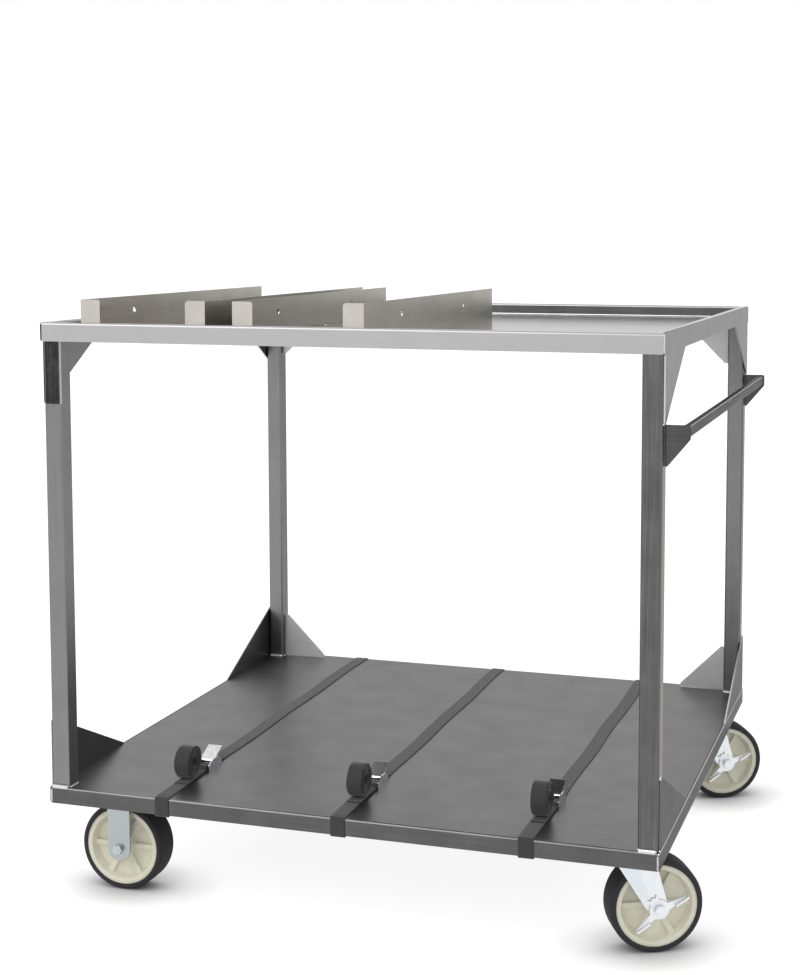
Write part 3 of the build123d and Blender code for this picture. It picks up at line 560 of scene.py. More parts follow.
@dataclass(frozen=True)
class WovenWebbing(Finish):
    """Polyester webbing: slanted ribs and a fuzzy sheen, read from the band's own map in metres.

    Real ribs are about 0.8 mm apart, too fine to show, so they are drawn 2.4 mm apart.
    Blender's slanted wave turns by ten radians in each unit of its scale.
    """

    roughness: Pair = (0.82, 0.82)
    span: Pair = (0.2, 0.85)
    relief: float = 0.5
    depth: float = 0.4 * MM
    map_name: str = "weave"
    rib: float = 2.4 * MM
    wave_turn: float = 10.0
    fuzz: float = 4.0 * MM
    fuzz_share: float = 0.45

    def shade(self, tree: NodeTree) -> NodeSocket:
        """Let ribs and fuzz change the colour, and the ribs stand out in relief.

        Args:
            tree: Node tree of the material.

        Returns:
            The shader's output.
        """
        spot = add_node(tree, "UVMap", uv_map=self.map_name)
        scale = math.tau / self.wave_turn / self.rib
        wave = {"Vector": spot, "Scale": scale, "Distortion": 0.6, "Detail": 1.0}
        ribs = add_node(tree, "TexWave", wave, "Fac", bands_direction="DIAGONAL")
        fuzz = add_node(tree, "TexNoise", {"Vector": spot, "Scale": 1 / self.fuzz, "Detail": 4.0})
        both = add_node(tree, "Mix", {0: self.fuzz_share, 2: ribs, 3: fuzz}, data_type="FLOAT")
        return self.surface(tree, both, ribs, ribs, {"Sheen Weight": 0.25, "Sheen Roughness": 0.5})


# Grain that runs up a tube or across the cart.
UPRIGHT = Grain.HEIGHT
ACROSS = Grain.DEPTH
# Size of the cloudy tone on a leg, on a leg's head and on a weld bead.
LONG = 110.0 * MM
SHORT = 24.0 * MM
TINY = 9.0 * MM
# Painted light and shade on one leg steel: the right front leg darker than the others,
# and the tubes' sides and rounded corners lighter than their fronts.
LEG_STEEL = BrushedSteel("satin_stainless_leg", ("48", "60", "78"), grain=UPRIGHT, cloud=LONG)
LEG_SIDE_STEEL = BrushedSteel("satin_stainless_leg_side", ("74", "7e", "88"), grain=UPRIGHT, cloud=LONG)
LEG_CORNER_STEEL = BrushedSteel("satin_stainless_leg_corner", ("5a", "64", "6e"), grain=UPRIGHT, relief=0.01)
# Painted shade: the left front leg's head under the apron and the left top ear's front edge.
LEG_HEAD_SHADE_STEEL = BrushedSteel("painted_shade_stainless_leg_head", ("1c", "36", "50"), grain=UPRIGHT, cloud=SHORT)
LEG_LIT_SIDE_STEEL = BrushedSteel("painted_light_stainless_leg_side", ("a09c99", "a8a4a1", "b0aca9"), grain=UPRIGHT)
# Painted shade: the handle bar and its brackets darker than the panels of the same steel.
BAR_STEEL = BrushedSteel("satin_stainless_bar", ("44", "4e", "58"), grain=ACROSS)
BRACKET_STEEL = BrushedSteel("satin_stainless_bracket", ("44", "50", "5c"))
# Painted shade: the lower end panels darker than the top ones of the same steel.
PANEL_STEEL = BrushedSteel("satin_stainless_panel", ("a0", "a8", "b0"), grain=ACROSS)
LOWER_PANEL_STEEL = BrushedSteel("satin_stainless_lower_panel", ("5c", "68", "74"), grain=ACROSS)
# Painted shade, light and highlight on the lower deck: dark front edge, lighter top, bright bend.
LOWER_EDGE_STEEL = BrushedSteel("satin_stainless_lower_edge", ("50", "5c", "68"))
LOWER_BEND_HIGHLIGHT_STEEL = BrushedSteel("painted_highlight_stainless_lower_bend", ("72", "7a", "82"), relief=0.0)
LOWER_TOP_STEEL = BrushedSteel("satin_stainless_lower_top", ("8a", "96", "a2"))
# Painted light, shade and highlight on the top deck's rims: lighter apron and rim top,
# darker inner upstands and bright bends, all of one steel.
APRON_STEEL = BrushedSteel("polished_stainless_painted_light_apron", ("aa", "ae", "b2"), (0.3, 0.36), relief=0.02)
RIM_HIGHLIGHT_STEEL = BrushedSteel("painted_highlight_stainless_bend", ("a4", "ac", "b4"), (0.36, 0.42), relief=0.0)
RIM_TOP_STEEL = BrushedSteel("painted_light_stainless_rim_top", ("b6", "c0", "ca"), (0.3, 0.4), flat_view="ff")
UPSTAND_SHADE_STEEL = BrushedSteel("painted_shade_stainless_upstand", ("5a", "68", "76"))
DECK_STEEL = BrushedSteel("polished_stainless_deck", ("7c", "86", "90"), (0.12, 0.22), flat_view="ff")
HIDDEN_STEEL = BrushedSteel("mill_finish_stainless", ("6a", "76", "82"), (0.36, 0.5), grain=ACROSS)
GUSSET_STEEL = BrushedSteel("satin_stainless_gusset", ("c6", "d0", "da"), (0.5, 0.6))
RAIL_STEEL = BrushedSteel(
    "satin_stainless_rail", ("b0aca4", "bab6ae", "c4c1b9"), grain=ACROSS, flat_view="d8"
)
# Painted highlight: the rails' bends in a paler tone of the rail steel.
RAIL_HIGHLIGHT_STEEL = BrushedSteel(
    "painted_highlight_stainless_rail_bend", ("d4d1ca", "dcdad4", "e4e2dd"), grain=UPRIGHT, relief=0.0
)
# Painted highlight: the right top ear's front edge and the right lower panel's seam strip.
EDGE_HIGHLIGHT_STEEL = BrushedSteel("painted_highlight_stainless_panel_edge", ("bc", "c6", "d0"), grain=UPRIGHT, relief=0.0)
# Painted highlight on edges, bends and ridges and on the broad toe beads; the pan's cove is ground bright.
BURNISHED_HIGHLIGHT_STEEL = BrushedSteel("burnished_stainless_painted_highlight", ("d2", "dc", "e6"), (0.16, 0.26))
# Painted highlight and shade: frame welds bright and the brackets' welds dark, of one weld steel.
WELD_STEEL = BrushedSteel("bright_stainless_weld_bead", ("c2", "d0", "de"), grain=UPRIGHT, cloud=TINY)
DARK_WELD_STEEL = BrushedSteel("stainless_weld_bead", ("50", "62", "74"), grain=UPRIGHT, cloud=TINY)
FORK_ZINC = PlatedSteel("zinc_plate_fork", ("a6aeae", "aab2b2"))
BRIGHT_ZINC = PlatedSteel("bright_zinc_plate", ("dadde0", "e0e3e6"))
# Painted reflection: the swivel forks' folded faces a darker, bluish tone of the plate.
FOLD_REFLECTION_ZINC = PlatedSteel("bright_zinc_plate_painted_fold_reflection", ("d0d7dc", "d6dde1"))
LEVER_ZINC = PlatedSteel("bright_zinc_plate_lever", ("e4e6e8", "eaecee"), (0.5, 0.56))
FIXING_ZINC = PlatedSteel("zinc_plate_fixing", ("adb0b1", "c4c7c7"))
CHROME = PlatedSteel("chrome_plate_buckle", ("d0d1d3", "e2e2e4"), (0.06, 0.12))
HUB_PLASTIC = MouldedPlastic("polyolefin_wheel_core", ("d2cfbc", "dedbca"))
TYRE_RUBBER = Rubber("tyre_rubber", ("08070d", "15141b"))
STRAP_WEBBING = WovenWebbing("polyester_webbing", ("1c1b1b", "3a3737"))
STRAP_THREAD = Thread("polyester_thread", ("4a4846", "6a6866"))


# The studio


@dataclass
class Studio:
    """Pale floor, soft light and the camera at the photograph's viewing angle."""

    image_height: int = 975
    sensor: float = 36.0
    focal_pixels: float = 1654.0
    azimuth: float = 17.12
    elevation: float = 5.0
    distance: float = 3.02
    target: Spot = (0.041, 0.0, 0.867)
    offset_pixels: Pair = (60.0, -110.0)
    lamp_aim: Spot = (0.0, 0.0, 0.55)
    sky_strength: float = 0.92
    floor_size: float = 60.0
    paper: float = 0.9
    seen_paper: float = 0.3
    paper_glow: float = 0.88
    shadow_reach: float = 105.0 * MM
    shadow_power: float = 1.9

    def camera(self) -> None:
        """Add the camera."""
        data = bpy.data.cameras.new("camera")
        data.sensor_width = self.sensor
        data.lens = self.focal_pixels * self.sensor / self.image_height
        data.shift_x = -self.offset_pixels[0] / self.image_height
        data.shift_y = self.offset_pixels[1] / self.image_height
        turn, tilt = math.radians(self.azimuth), math.radians(self.elevation)
        away = Vector((math.sin(turn) * math.cos(tilt), -math.cos(turn) * math.cos(tilt), math.sin(tilt)))
        camera = bpy.data.objects.new("camera", data)
        camera.location = Vector(self.target) + self.distance * away
        camera.rotation_euler = away.to_track_quat("Z", "Y").to_euler()
        bpy.context.scene.collection.objects.link(camera)
        bpy.context.scene.camera = camera

    def softbox(self, name: str, spot: Spot, size: float, power: float) -> None:
        """Add a square area lamp that faces the cart's middle.

        Args:
            name: Name of the lamp.
            spot: Where it stands.
            size: Length of its side.
            power: Power in watts.
        """
        data = bpy.data.lights.new(name, "AREA")
        data.size = size
        data.energy = power
        lamp = bpy.data.objects.new(name, data)
        lamp.location = spot
        away = Vector(spot) - Vector(self.lamp_aim)
        lamp.rotation_euler = away.to_track_quat("Z", "Y").to_euler()
        bpy.context.scene.collection.objects.link(lamp)

    def seen_rays(self, tree: NodeTree) -> NodeSocket:
        """Add up the rays that show the background as white.

        Args:
            tree: Node tree of the floor or the world.

        Returns:
            Socket that is 1 for camera, glossy and transmission rays.
        """
        seen = add_node(tree, "LightPath", output="Is Camera Ray")
        for kind in ("Is Glossy Ray", "Is Transmission Ray"):
            ray = add_node(tree, "LightPath", output=kind)
            seen = add_node(tree, "Math", {0: seen, 1: ray}, operation="MAXIMUM")
        return seen

    def world(self) -> None:
        """Add white surroundings that light the cart evenly."""
        world = bpy.data.worlds.new("studio")
        bpy.context.scene.world = world
        world.use_nodes = True
        tree = world.node_tree
        tree.nodes.clear()
        ends = {"To Min": self.sky_strength, "To Max": 1.0}
        strength = add_node(tree, "MapRange", {"Value": self.seen_rays(tree), **ends})
        sky = add_node(tree, "Background", {"Color": linear("ff"), "Strength": strength})
        add_node(tree, "OutputWorld", {"Surface": sky})

    def floor(self) -> None:
        """Add a white floor that keeps the cart's shadow, with a painted contact shadow from ambient
        occlusion.
        """
        floor = shape("studio_floor", bpy.ops.mesh.primitive_plane_add, size=self.floor_size)
        material = bpy.data.materials.new("studio_paper")
        material.use_nodes = True
        tree = material.node_tree
        tree.nodes.clear()
        greys = [(grey, grey, grey, 1) for grey in (self.paper, self.seen_paper)]
        paper, shaded = [add_node(tree, "BsdfDiffuse", {"Color": grey}) for grey in greys]
        # Painted shadow: ambient occlusion near the cart dims the floor's glow.
        painted_shadow = add_node(tree, "AmbientOcclusion", {"Distance": self.shadow_reach}, "AO", samples=16)
        deepened_painted_shadow = add_node(tree, "Math", {0: painted_shadow, 1: self.shadow_power}, operation="POWER")
        strength = add_node(tree, "MapRange", {"Value": deepened_painted_shadow, "To Min": 0.0, "To Max": self.paper_glow})
        glow = add_node(tree, "Emission", {"Color": linear("ff"), "Strength": strength})
        lit = add_node(tree, "AddShader", {0: shaded, 1: glow})
        seen = add_node(tree, "MixShader", {0: self.seen_rays(tree), 1: paper, 2: lit})
        add_node(tree, "OutputMaterial", {"Surface": seen})
        floor.data.materials.append(material)

    def build(self) -> None:
        """Set up everything around the cart."""
        bpy.context.scene.view_settings.view_transform = "Standard"
        self.camera()
        self.world()
        self.floor()
        self.softbox("key_softbox", spot=(-1.8, -3.0, 3.2), size=3.2, power=70.0)
        self.softbox("fill_softbox", spot=(2.8, -1.6, 2.2), size=2.4, power=4.0)


# Steelwork


@dataclass(frozen=True)
class Dressing:
    """How one family of steel pieces is toned, painted light and shade too, with the height of a cut where a
    zone ends.
    """

    finish: Finish
    ease: float = 0.0
    edge: Finish | None = None
    zones: tuple[tuple[Zone, Finish], ...] = ()
    cut: float | None = None

    def finishes(self) -> list[Finish]:
        """Finishes in the order of the material numbers: face, eased edge, then every zone."""
        return [self.finish, self.edge or self.finish] + [finish for _, finish in self.zones]

    def number(self, centre: Vector, normal: Vector) -> int:
        """Material number of a face: of the first zone that holds it, or else of the plain face."""
        return next((k + 2 for k, (zone, _) in enumerate(self.zones) if zone.holds(centre, normal)), 0)


@dataclass
class Steelwork:
    """Pressed, bent and turned steel: each piece gets its finish, and its sharp edges are eased."""

    nodes: dict[str, Object]
    record: dict[str, Any]
    merge: float = 0.002 * MM
    flat_degrees: float = 0.3
    sharp_degrees: float = 38.0
    smooth_degrees: float = 60.0

    def dressings(self) -> dict[str, Dressing]:
        """Choose the finish of every steel node.

        Returns:
            Dressings by the node's name or by the start of it.
        """
        fine, thin, sheet, turned = 0.3 * MM, 0.4 * MM, 0.6 * MM, 0.8 * MM
        rims = ((Zone.TOP, RIM_TOP_STEEL), (Zone.INNER, UPSTAND_SHADE_STEEL), (Zone.BEND, RIM_HIGHLIGHT_STEEL))
        lower = ((Zone.TOP, LOWER_TOP_STEEL), (Zone.BEND, LOWER_BEND_HIGHLIGHT_STEEL))
        # Painted shade on the left front leg's head, and a painted highlight down its corner in the panel
        # tone.
        head = ((Zone.HEAD, LEG_HEAD_SHADE_STEEL), (Zone.HEAD_CORNER, PANEL_STEEL))
        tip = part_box("top_side_panel_left")[0].z
        # Painted shade: the left top ear's front edge, and its inner face in the legs' darker tone.
        ear = ((Zone.FRONT, LEG_HEAD_SHADE_STEEL), (Zone.INNER, LEG_SIDE_STEEL))
        ear_edge = ((Zone.FRONT, EDGE_HIGHLIGHT_STEEL),)
        tube = ((Zone.SIDE, LEG_LIT_SIDE_STEEL), (Zone.BEND, LEG_CORNER_STEEL))
        # Painted highlight on the right lower panel's bend faces.
        seam = ((Zone.BEND, BURNISHED_HIGHLIGHT_STEEL),)
        return {
            "leg_front_left": Dressing(LEG_SIDE_STEEL, fine, None, head, tip),
            "leg_rear_left": Dressing(LEG_SIDE_STEEL, fine),
            "leg_rear_right": Dressing(LEG_SIDE_STEEL, fine, None, tube),
            "leg_": Dressing(LEG_STEEL, fine, None, tube),
            "top_deck": Dressing(DECK_STEEL),
            "top_deck_rims": Dressing(APRON_STEEL, fine, RIM_HIGHLIGHT_STEEL, rims),
            "lower_deck": Dressing(LOWER_EDGE_STEEL, fine, LOWER_BEND_HIGHLIGHT_STEEL, lower),
            "top_side_panel_left": Dressing(PANEL_STEEL, sheet, None, ear),
            "top_side_panel_right": Dressing(PANEL_STEEL, sheet, BURNISHED_HIGHLIGHT_STEEL, ear_edge),
            "lower_side_panel_left": Dressing(LOWER_PANEL_STEEL, sheet),
            # Painted highlight: the right lower panel's eased edges take the lighter deck-top tone.
            "lower_side_panel_right": Dressing(LOWER_PANEL_STEEL, sheet, LOWER_TOP_STEEL, seam),
            "rear_gussets": Dressing(GUSSET_STEEL, sheet),
            "deck_stiffeners": Dressing(HIDDEN_STEEL),
            "caster_channel_": Dressing(HIDDEN_STEEL),
            "handle_bar": Dressing(BAR_STEEL, 0.2 * MM, None, ((Zone.RIDGE, BURNISHED_HIGHLIGHT_STEEL),)),
            # Painted highlight: the brackets' eased edges in the pale panel tone.
            "handle_bracket_": Dressing(BRACKET_STEEL, 0.9 * MM, PANEL_STEEL),
            "retaining_rail_": Dressing(RAIL_STEEL, thin, BURNISHED_HIGHLIGHT_STEEL, ((Zone.BEND, RAIL_HIGHLIGHT_STEEL),)),
            "rail_rivets": Dressing(RAIL_STEEL, 0.5 * MM),
            # Painted highlight: the rigid forks' eased edges in the brighter zinc.
            "rigid_fork_": Dressing(FORK_ZINC, 1.5 * MM, BRIGHT_ZINC),
            "swivel_fork_": Dressing(BRIGHT_ZINC, turned, None, ((Zone.FOLD, FOLD_REFLECTION_ZINC),)),
            "brake_lever_": Dressing(LEVER_ZINC, sheet),
            "swivel_plate_": Dressing(FORK_ZINC, sheet),
            "swivel_races": Dressing(FORK_ZINC),
            "kingpins": Dressing(FIXING_ZINC),
            "caster_bolts": Dressing(FIXING_ZINC, 0.7 * MM),
            "caster_nuts": Dressing(FIXING_ZINC),
            "rigid_axle_bolts": Dressing(FIXING_ZINC, turned),
            "rigid_axle_sleeves": Dressing(FIXING_ZINC),
            "swivel_axle_": Dressing(BRIGHT_ZINC, turned),
            "swivel_sleeve_": Dressing(FIXING_ZINC),
            "strap_clamps": Dressing(FIXING_ZINC),
            "buckle_frames": Dressing(CHROME, thin),
            "buckle_": Dressing(CHROME),
            "cam_lever_": Dressing(CHROME, 0.25 * MM),
        }

    def body_of(self, name: str) -> str:
        """Name of the body that carries a node."""
        bodies = self.record["behaviour"]["bodies"]
        return next(body for body, members in bodies.items() if name in members)

    def ease(self, name: str, dressing: Dressing) -> Object:
        """Copy a node with its facets joined up and its sharp edges eased.

        Args:
            name: Name of the node.
            dressing: How it is finished.

        Returns:
            The eased copy, with the dressing's material numbers.
        """
        piece = copy_of(self.nodes[name], f"{name}_eased")
        pick(piece)
        bpy.ops.mesh.customdata_custom_splitnormals_clear()
        with editing(piece):
            bpy.ops.mesh.remove_doubles(threshold=self.merge)
            bpy.ops.mesh.dissolve_limited(angle_limit=math.radians(self.flat_degrees))
            if dressing.cut is not None:
                bpy.ops.mesh.select_all(action="SELECT")
                bpy.ops.mesh.bisect(plane_co=(0, 0, dressing.cut), plane_no=(0, 0, 1))
        for face in piece.data.polygons:
            face.material_index = dressing.number(face.center, face.normal)
        round_edges(piece, dressing.ease, self.sharp_degrees, material=1)
        pick(piece)
        bpy.ops.object.shade_smooth_by_angle(angle=math.radians(self.smooth_degrees))
        apply_modifier(piece, "WEIGHTED_NORMAL", keep_sharp=True)
        return piece

    def build(self) -> None:
        """Dress every node that stays, and replace the ones with eased edges."""
        dressings = self.dressings()
        for name, node in self.nodes.items():
            starts = [start for start in dressings if name.startswith(start)]
            if not starts:
                continue
            dressing = dressings[max(starts, key=len)]
            if dressing.ease:
                piece = self.ease(name, dressing)
                place(piece, self.body_of(name), dressing.finishes(), [name])
            else:
                node.data.materials.clear()
                node.data.materials.append(dressing.finish.material())


@dataclass
class Welds:
    """Fillet welds of the frame, laid as overlapping ripples, and the ground cove round the pan's floor.

    Pitch, ripple and lean, half a ripple's length and how far its front leans back, are shares of a
    bead's throat. A ground bead's ripples lie close. The cove's hollow is a share of its size.
    """

    throat: float = 2.4 * MM
    pitch: float = 1.08
    ground_pitch: float = 0.4
    ripple: float = 1.12
    lean: float = 0.448
    front_least: float = 0.5
    gusset_side: float = 90.0 * MM
    gusset_sheet: float = 4.0 * MM
    tube_corner: float = 4.0 * MM
    cove: float = 2.0 * MM
    hollow: float = 0.9
    hollow_profile: float = 0.12
    toe: float = 5.0 * MM
    seam: float = 4.5 * MM
    tack: float = 8.0 * MM
    seam_proud: float = 0.5 * MM
    seam_crest: Pair = (0.999, 0.4)

    def unit(self, throat: float) -> Object:
        """Model one ripple of solidified metal along X, with a steep front and a long back.

        Args:
            throat: Its radius across the joint.

        Returns:
            The ripple.
        """
        ripple = shape(
            "ripple", bpy.ops.mesh.primitive_uv_sphere_add, (throat, throat, self.ripple * throat),
            segments=8, ring_count=6, radius=1.0, rotation=(0, math.pi / 2, 0),
        )
        with editing(ripple, lambda centre, normal: normal.x > self.front_least):
            bpy.ops.transform.translate(value=(-self.lean * throat, 0, 0))
        tidy(ripple, smooth=60.0)
        return ripple

    def leg_lines(self, end: str, side: str) -> list[Line]:
        """List a leg's joints: its foot and head on free sides, its ears' tips, and a rear leg's gussets.

        Args:
            end: Which end of the side the leg stands at.
            side: Which side.

        Returns:
            Start and end of every joint.
        """
        low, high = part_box(f"leg_{end}_{side}")
        left, right = low.x + self.tube_corner, high.x - self.tube_corner
        near, far = low.y + self.tube_corner, high.y - self.tube_corner
        inner, outer, inward = (high.x, low.x, 1) if side == "left" else (low.x, high.x, -1)
        lines = []
        for level in (low.z, high.z):
            lines.append(((left, high.y, level), (right, high.y, level)))
            lines.append(((inner, near, level), (inner, far, level)))
        lines.append(((left, low.y, high.z), (right, low.y, high.z)))
        ear, tack = (near, self.tack) if end == "front" else (far, -self.tack)
        for tip in (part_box(f"top_side_panel_{side}")[0].z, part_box(f"lower_side_panel_{side}")[1].z):
            lines.append(((outer, ear, tip), (outer, ear + tack, tip)))
        if end == "front":
            return lines
        middle, reach = (low.y + high.y) / 2, inner + inward * self.gusset_side
        for level, rise in ((low.z, 1), (high.z, -1)):
            for face in (-1, 1):
                y = middle + face * self.gusset_sheet / 2
                lines.append(((inner, y, level), (inner, y, level + rise * self.gusset_side)))
                lines.append(((inner, y, level), (reach, y, level)))
        return lines

    def frame_lines(self) -> list[Line]:
        """List every plain joint of the frame: the lower deck's four corners and the legs.

        Returns:
            Start and end of every joint.
        """
        low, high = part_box("lower_deck")
        bottom, top = low.z + self.throat, high.z - self.tube_corner
        inset = self.throat / 2
        spots = [(x, y) for x in (low.x, high.x) for y in (low.y + inset, high.y - inset)]
        corners = [((x, y, bottom), (x, y, top)) for x, y in spots]
        return corners + [line for side in SIDES for end in ENDS for line in self.leg_lines(end, side)]

    def toe_lines(self) -> list[Line]:
        """List the joints at the front of every leg's foot, which carry a broad weld.

        Returns:
            Start and end of every joint.
        """
        lines = []
        for low, high in [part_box(f"leg_{end}_{side}") for end in ENDS for side in SIDES]:
            left, right = low.x + self.tube_corner, high.x - self.tube_corner
            lines.append(((left, low.y, low.z), (right, low.y, low.z)))
        return lines

    def bracket_lines(self) -> list[Line]:
        """List the joints between the handle's brackets, their legs and the bar.

        Returns:
            Start and end of every joint.
        """
        bar_low, bar_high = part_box("handle_bar")
        left, right = bar_low.x + self.tube_corner, bar_high.x - self.tube_corner
        bottom, top = bar_low.z + self.tube_corner, bar_high.z - self.tube_corner
        lines = []
        for end in ENDS:
            low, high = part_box(f"handle_bracket_{end}")
            meet = high.y if end == "front" else low.y
            lines += [((low.x, y, low.z + self.throat), (low.x, y, high.z)) for y in (low.y, high.y)]
            lines += [((left, meet, level), (right, meet, level)) for level in (bar_low.z, bar_high.z)]
            lines += [((x, meet, bottom), (x, meet, top)) for x in (bar_low.x, bar_high.x)]
        return lines

    def pan_cove(self) -> Object:
        """Model the ground weld in the corner between the pan's floor and its upstands.

        Returns:
            A ring with a hollow face.
        """
        low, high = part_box("top_deck")
        ring = shape(
            "pan_cove_weld", bpy.ops.mesh.primitive_plane_add, (high.x - low.x, high.y - low.y, 1),
            size=1, location=((low.x + high.x) / 2, (low.y + high.y) / 2, high.z),
        )
        with editing(ring):
            bpy.ops.mesh.inset(thickness=self.cove, use_even_offset=True)
            bpy.ops.mesh.delete(type="FACE")
            bpy.ops.mesh.select_all(action="SELECT")
            bpy.ops.mesh.extrude_region_move(TRANSFORM_OT_translate={"value": (0, 0, self.cove)})
        tidy(ring, smooth=30.0)
        middle = (low + high) / 2
        inside = (high - low) / 2 - Vector((1, 1, 0)) * self.cove / 2

        def is_inner_top(a: Vector, b: Vector) -> bool:
            """Whether an edge runs along the ring's inner upper corner."""
            spots = [end - middle for end in (a, b)]
            return all(abs(s.x) < inside.x and abs(s.y) < inside.y and s.z > self.cove / 2 for s in spots)

        with editing(ring, is_inner_top, Element.EDGE):
            offset, profile = self.hollow * self.cove, self.hollow_profile
            bpy.ops.mesh.bevel(offset=offset, segments=4, profile=profile, affect="EDGES")
        tidy(ring, smooth=40.0)
        return ring

    def panel_seam(self) -> Object:
        """Model a bright strip on the right lower panel's joint with the deck, a painted highlight; none on
        the left.

        Returns:
            A low strip with sloped edges along the panel's outer face.
        """
        low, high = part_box("lower_side_panel_right")
        size = (2 * self.seam_proud, high.y - low.y - 2 * self.tube_corner, self.seam)
        middle = (high.x, (low.y + high.y) / 2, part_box("lower_deck")[1].z)
        strip = shape("panel_seam_highlight_right", bpy.ops.mesh.primitive_cube_add, size, size=1, location=middle)
        with editing(strip, lambda centre, normal: normal.x > FACING):
            bpy.ops.transform.resize(value=(1, *self.seam_crest))
        tidy(strip, smooth=60.0)
        return strip

    def build(self) -> None:
        """Lay the beads, the cove and the seam."""
        for name, lines, throat, pitch, finish in (
            ("weld_beads", self.frame_lines(), self.throat, self.pitch, WELD_STEEL),
            ("toe_beads", self.toe_lines(), self.toe, self.ground_pitch, BURNISHED_HIGHLIGHT_STEEL),
            ("bracket_beads", self.bracket_lines(), self.throat, self.pitch, DARK_WELD_STEEL),
        ):
            place(lay(self.unit(throat), lines, pitch * throat, name), CART, [finish])
        place(self.pan_cove(), CART, [BURNISHED_HIGHLIGHT_STEEL])
        place(self.panel_seam(), CART, [EDGE_HIGHLIGHT_STEEL])


# Wheels


@dataclass
class Wheel:
    """Caster wheel: a smooth rubber tyre on a moulded core with ribs on both faces."""

    kind: str
    end: str
    joint: dict[str, Any]
    radius: float = 76.0 * MM
    tread: float = 50.0 * MM
    tyre: float = 9.5 * MM
    shoulder: float = 6.5 * MM
    mould_line: float = 1.6 * MM
    mould_rise: float = 0.25 * MM
    core_width: float = 46.0 * MM
    ring: float = 8.5 * MM
    web: float = 16.0 * MM
    ribs: int = 6
    rib_width: float = 12.0 * MM
    rib_depth: float = 28.0 * MM
    rib_draft: float = 0.8
    boss_bite: float = 3.0 * MM
    ring_bite: float = 1.5 * MM
    boss: float = 17.0 * MM
    boss_width: float = 60.0 * MM
    bore: float = 7.6 * MM
    draft: float = 5.0 * MM
    boss_draft: float = 0.75 * MM
    ease: float = 0.9 * MM
    sharp_degrees: float = 35.0
    hair: float = 0.01 * MM
    tread_least: float = 0.98
    steps: int = 96

    def seat(self) -> Matrix:
        """Find the wheel's place, with its axle along its own Y.

        Returns:
            Matrix from the wheel's own frame.
        """
        axle = Vector(self.joint["axis"])
        turn = math.atan2(-axle.x, axle.y)
        return Matrix.Translation(Vector(self.joint["pos_m"])) @ Matrix.Rotation(turn, 4, "Z")

    def drum(self, part: str, radius: float, width: float) -> Object:
        """Start a round piece about the axle.

        Args:
            part: Part of the wheel that it becomes.
            radius: Outer radius.
            width: Width along the axle.

        Returns:
            A closed drum.
        """
        return shape(
            f"{part}_{self.kind}_{self.end}", bpy.ops.mesh.primitive_cylinder_add,
            vertices=self.steps, radius=radius, depth=width, rotation=(math.pi / 2, 0, 0),
        )

    @staticmethod
    def middle_face(centre: Vector, normal: Vector) -> bool:
        """Whether a face closes an end of the drum, round the axle."""
        return abs(normal.y) > FACING and math.hypot(centre.x, centre.z) < MM

    def step_in(self, obj: Object, width: float) -> None:
        """Inset both end faces of a drum, by the width of the ring that is left outside."""
        with editing(obj, self.middle_face):
            bpy.ops.mesh.inset(thickness=width, use_even_offset=True)

    def sink(self, obj: Object, depth: float, taper: float) -> None:
        """Push both middle end faces towards the wheel's middle.

        Args:
            obj: Drum to shape.
            depth: Distance along the axle, negative to raise them.
            taper: Scale of the faces across the axle.
        """
        for side in (-1, 1):
            with editing(obj, lambda spot, normal: self.middle_face(spot, normal) and normal.y * side > 0):
                bpy.ops.mesh.extrude_region_move(TRANSFORM_OT_translate={"value": (0, -side * depth, 0)})
                bpy.ops.transform.resize(value=(taper, 1, taper))

    def pierce(self, obj: Object) -> None:
        """Open both middle end faces and join their edges by a bore.

        Args:
            obj: Drum to pierce.
        """
        with editing(obj, self.middle_face):
            bpy.ops.mesh.delete(type="ONLY_FACE")
            bpy.ops.mesh.select_all(action="DESELECT")
            bpy.ops.mesh.select_mode(type="EDGE")
            bpy.ops.mesh.select_non_manifold()
            bpy.ops.mesh.bridge_edge_loops()

    def tyre_piece(self) -> Object:
        """Model the tyre, with a raised mould line round its tread.

        Returns:
            The tyre in the wheel's own frame.
        """
        radius = self.radius - self.mould_rise
        tyre = self.drum("tyre", radius, self.tread)
        self.step_in(tyre, self.tyre - self.mould_rise)
        self.pierce(tyre)

        def is_shoulder(a: Vector, b: Vector) -> bool:
            """Whether an edge runs round an outer corner."""
            outer = min(math.hypot(a.x, a.z), math.hypot(b.x, b.z)) > radius - self.hair
            return outer and abs(a.y - b.y) < self.hair

        def is_tread(centre: Vector, normal: Vector) -> bool:
            """Whether a face is part of the tread."""
            reach = math.hypot(centre.x, centre.z)
            return reach > self.tread_least * self.radius and abs(centre.y) < MM

        with editing(tyre, is_shoulder, Element.EDGE):
            bpy.ops.mesh.bevel(offset=self.shoulder, segments=7, affect="EDGES")
        with editing(tyre, is_tread):
            margin = self.tread / 2 - self.shoulder - self.mould_line / 2
            bpy.ops.mesh.inset(thickness=margin, use_even_offset=True)
            bpy.ops.transform.shrink_fatten(value=self.mould_rise)
        tidy(tyre, smooth=40.0)
        return tyre

    def hub_piece(self) -> Object:
        """Model the core.

        Returns:
            The hub in the wheel's own frame.
        """
        outer = self.radius - self.tyre
        inner = outer - self.ring
        hub = self.drum("hub", outer, self.core_width)
        self.step_in(hub, self.ring)
        self.sink(hub, (self.core_width - self.web) / 2, (inner - self.draft) / inner)
        self.step_in(hub, inner - self.draft - self.boss)
        self.sink(hub, -(self.boss_width - self.web) / 2, 1 - self.boss_draft / self.boss)
        self.step_in(hub, self.boss - self.boss_draft - self.bore)
        self.pierce(hub)
        spokes = self.spokes(inner)
        apply_modifier(hub, "BOOLEAN", operation="UNION", object=spokes, solver="EXACT")
        bpy.data.objects.remove(spokes)
        round_edges(hub, self.ease, self.sharp_degrees, use_clamp_overlap=False)
        tidy(hub, smooth=35.0)
        return hub

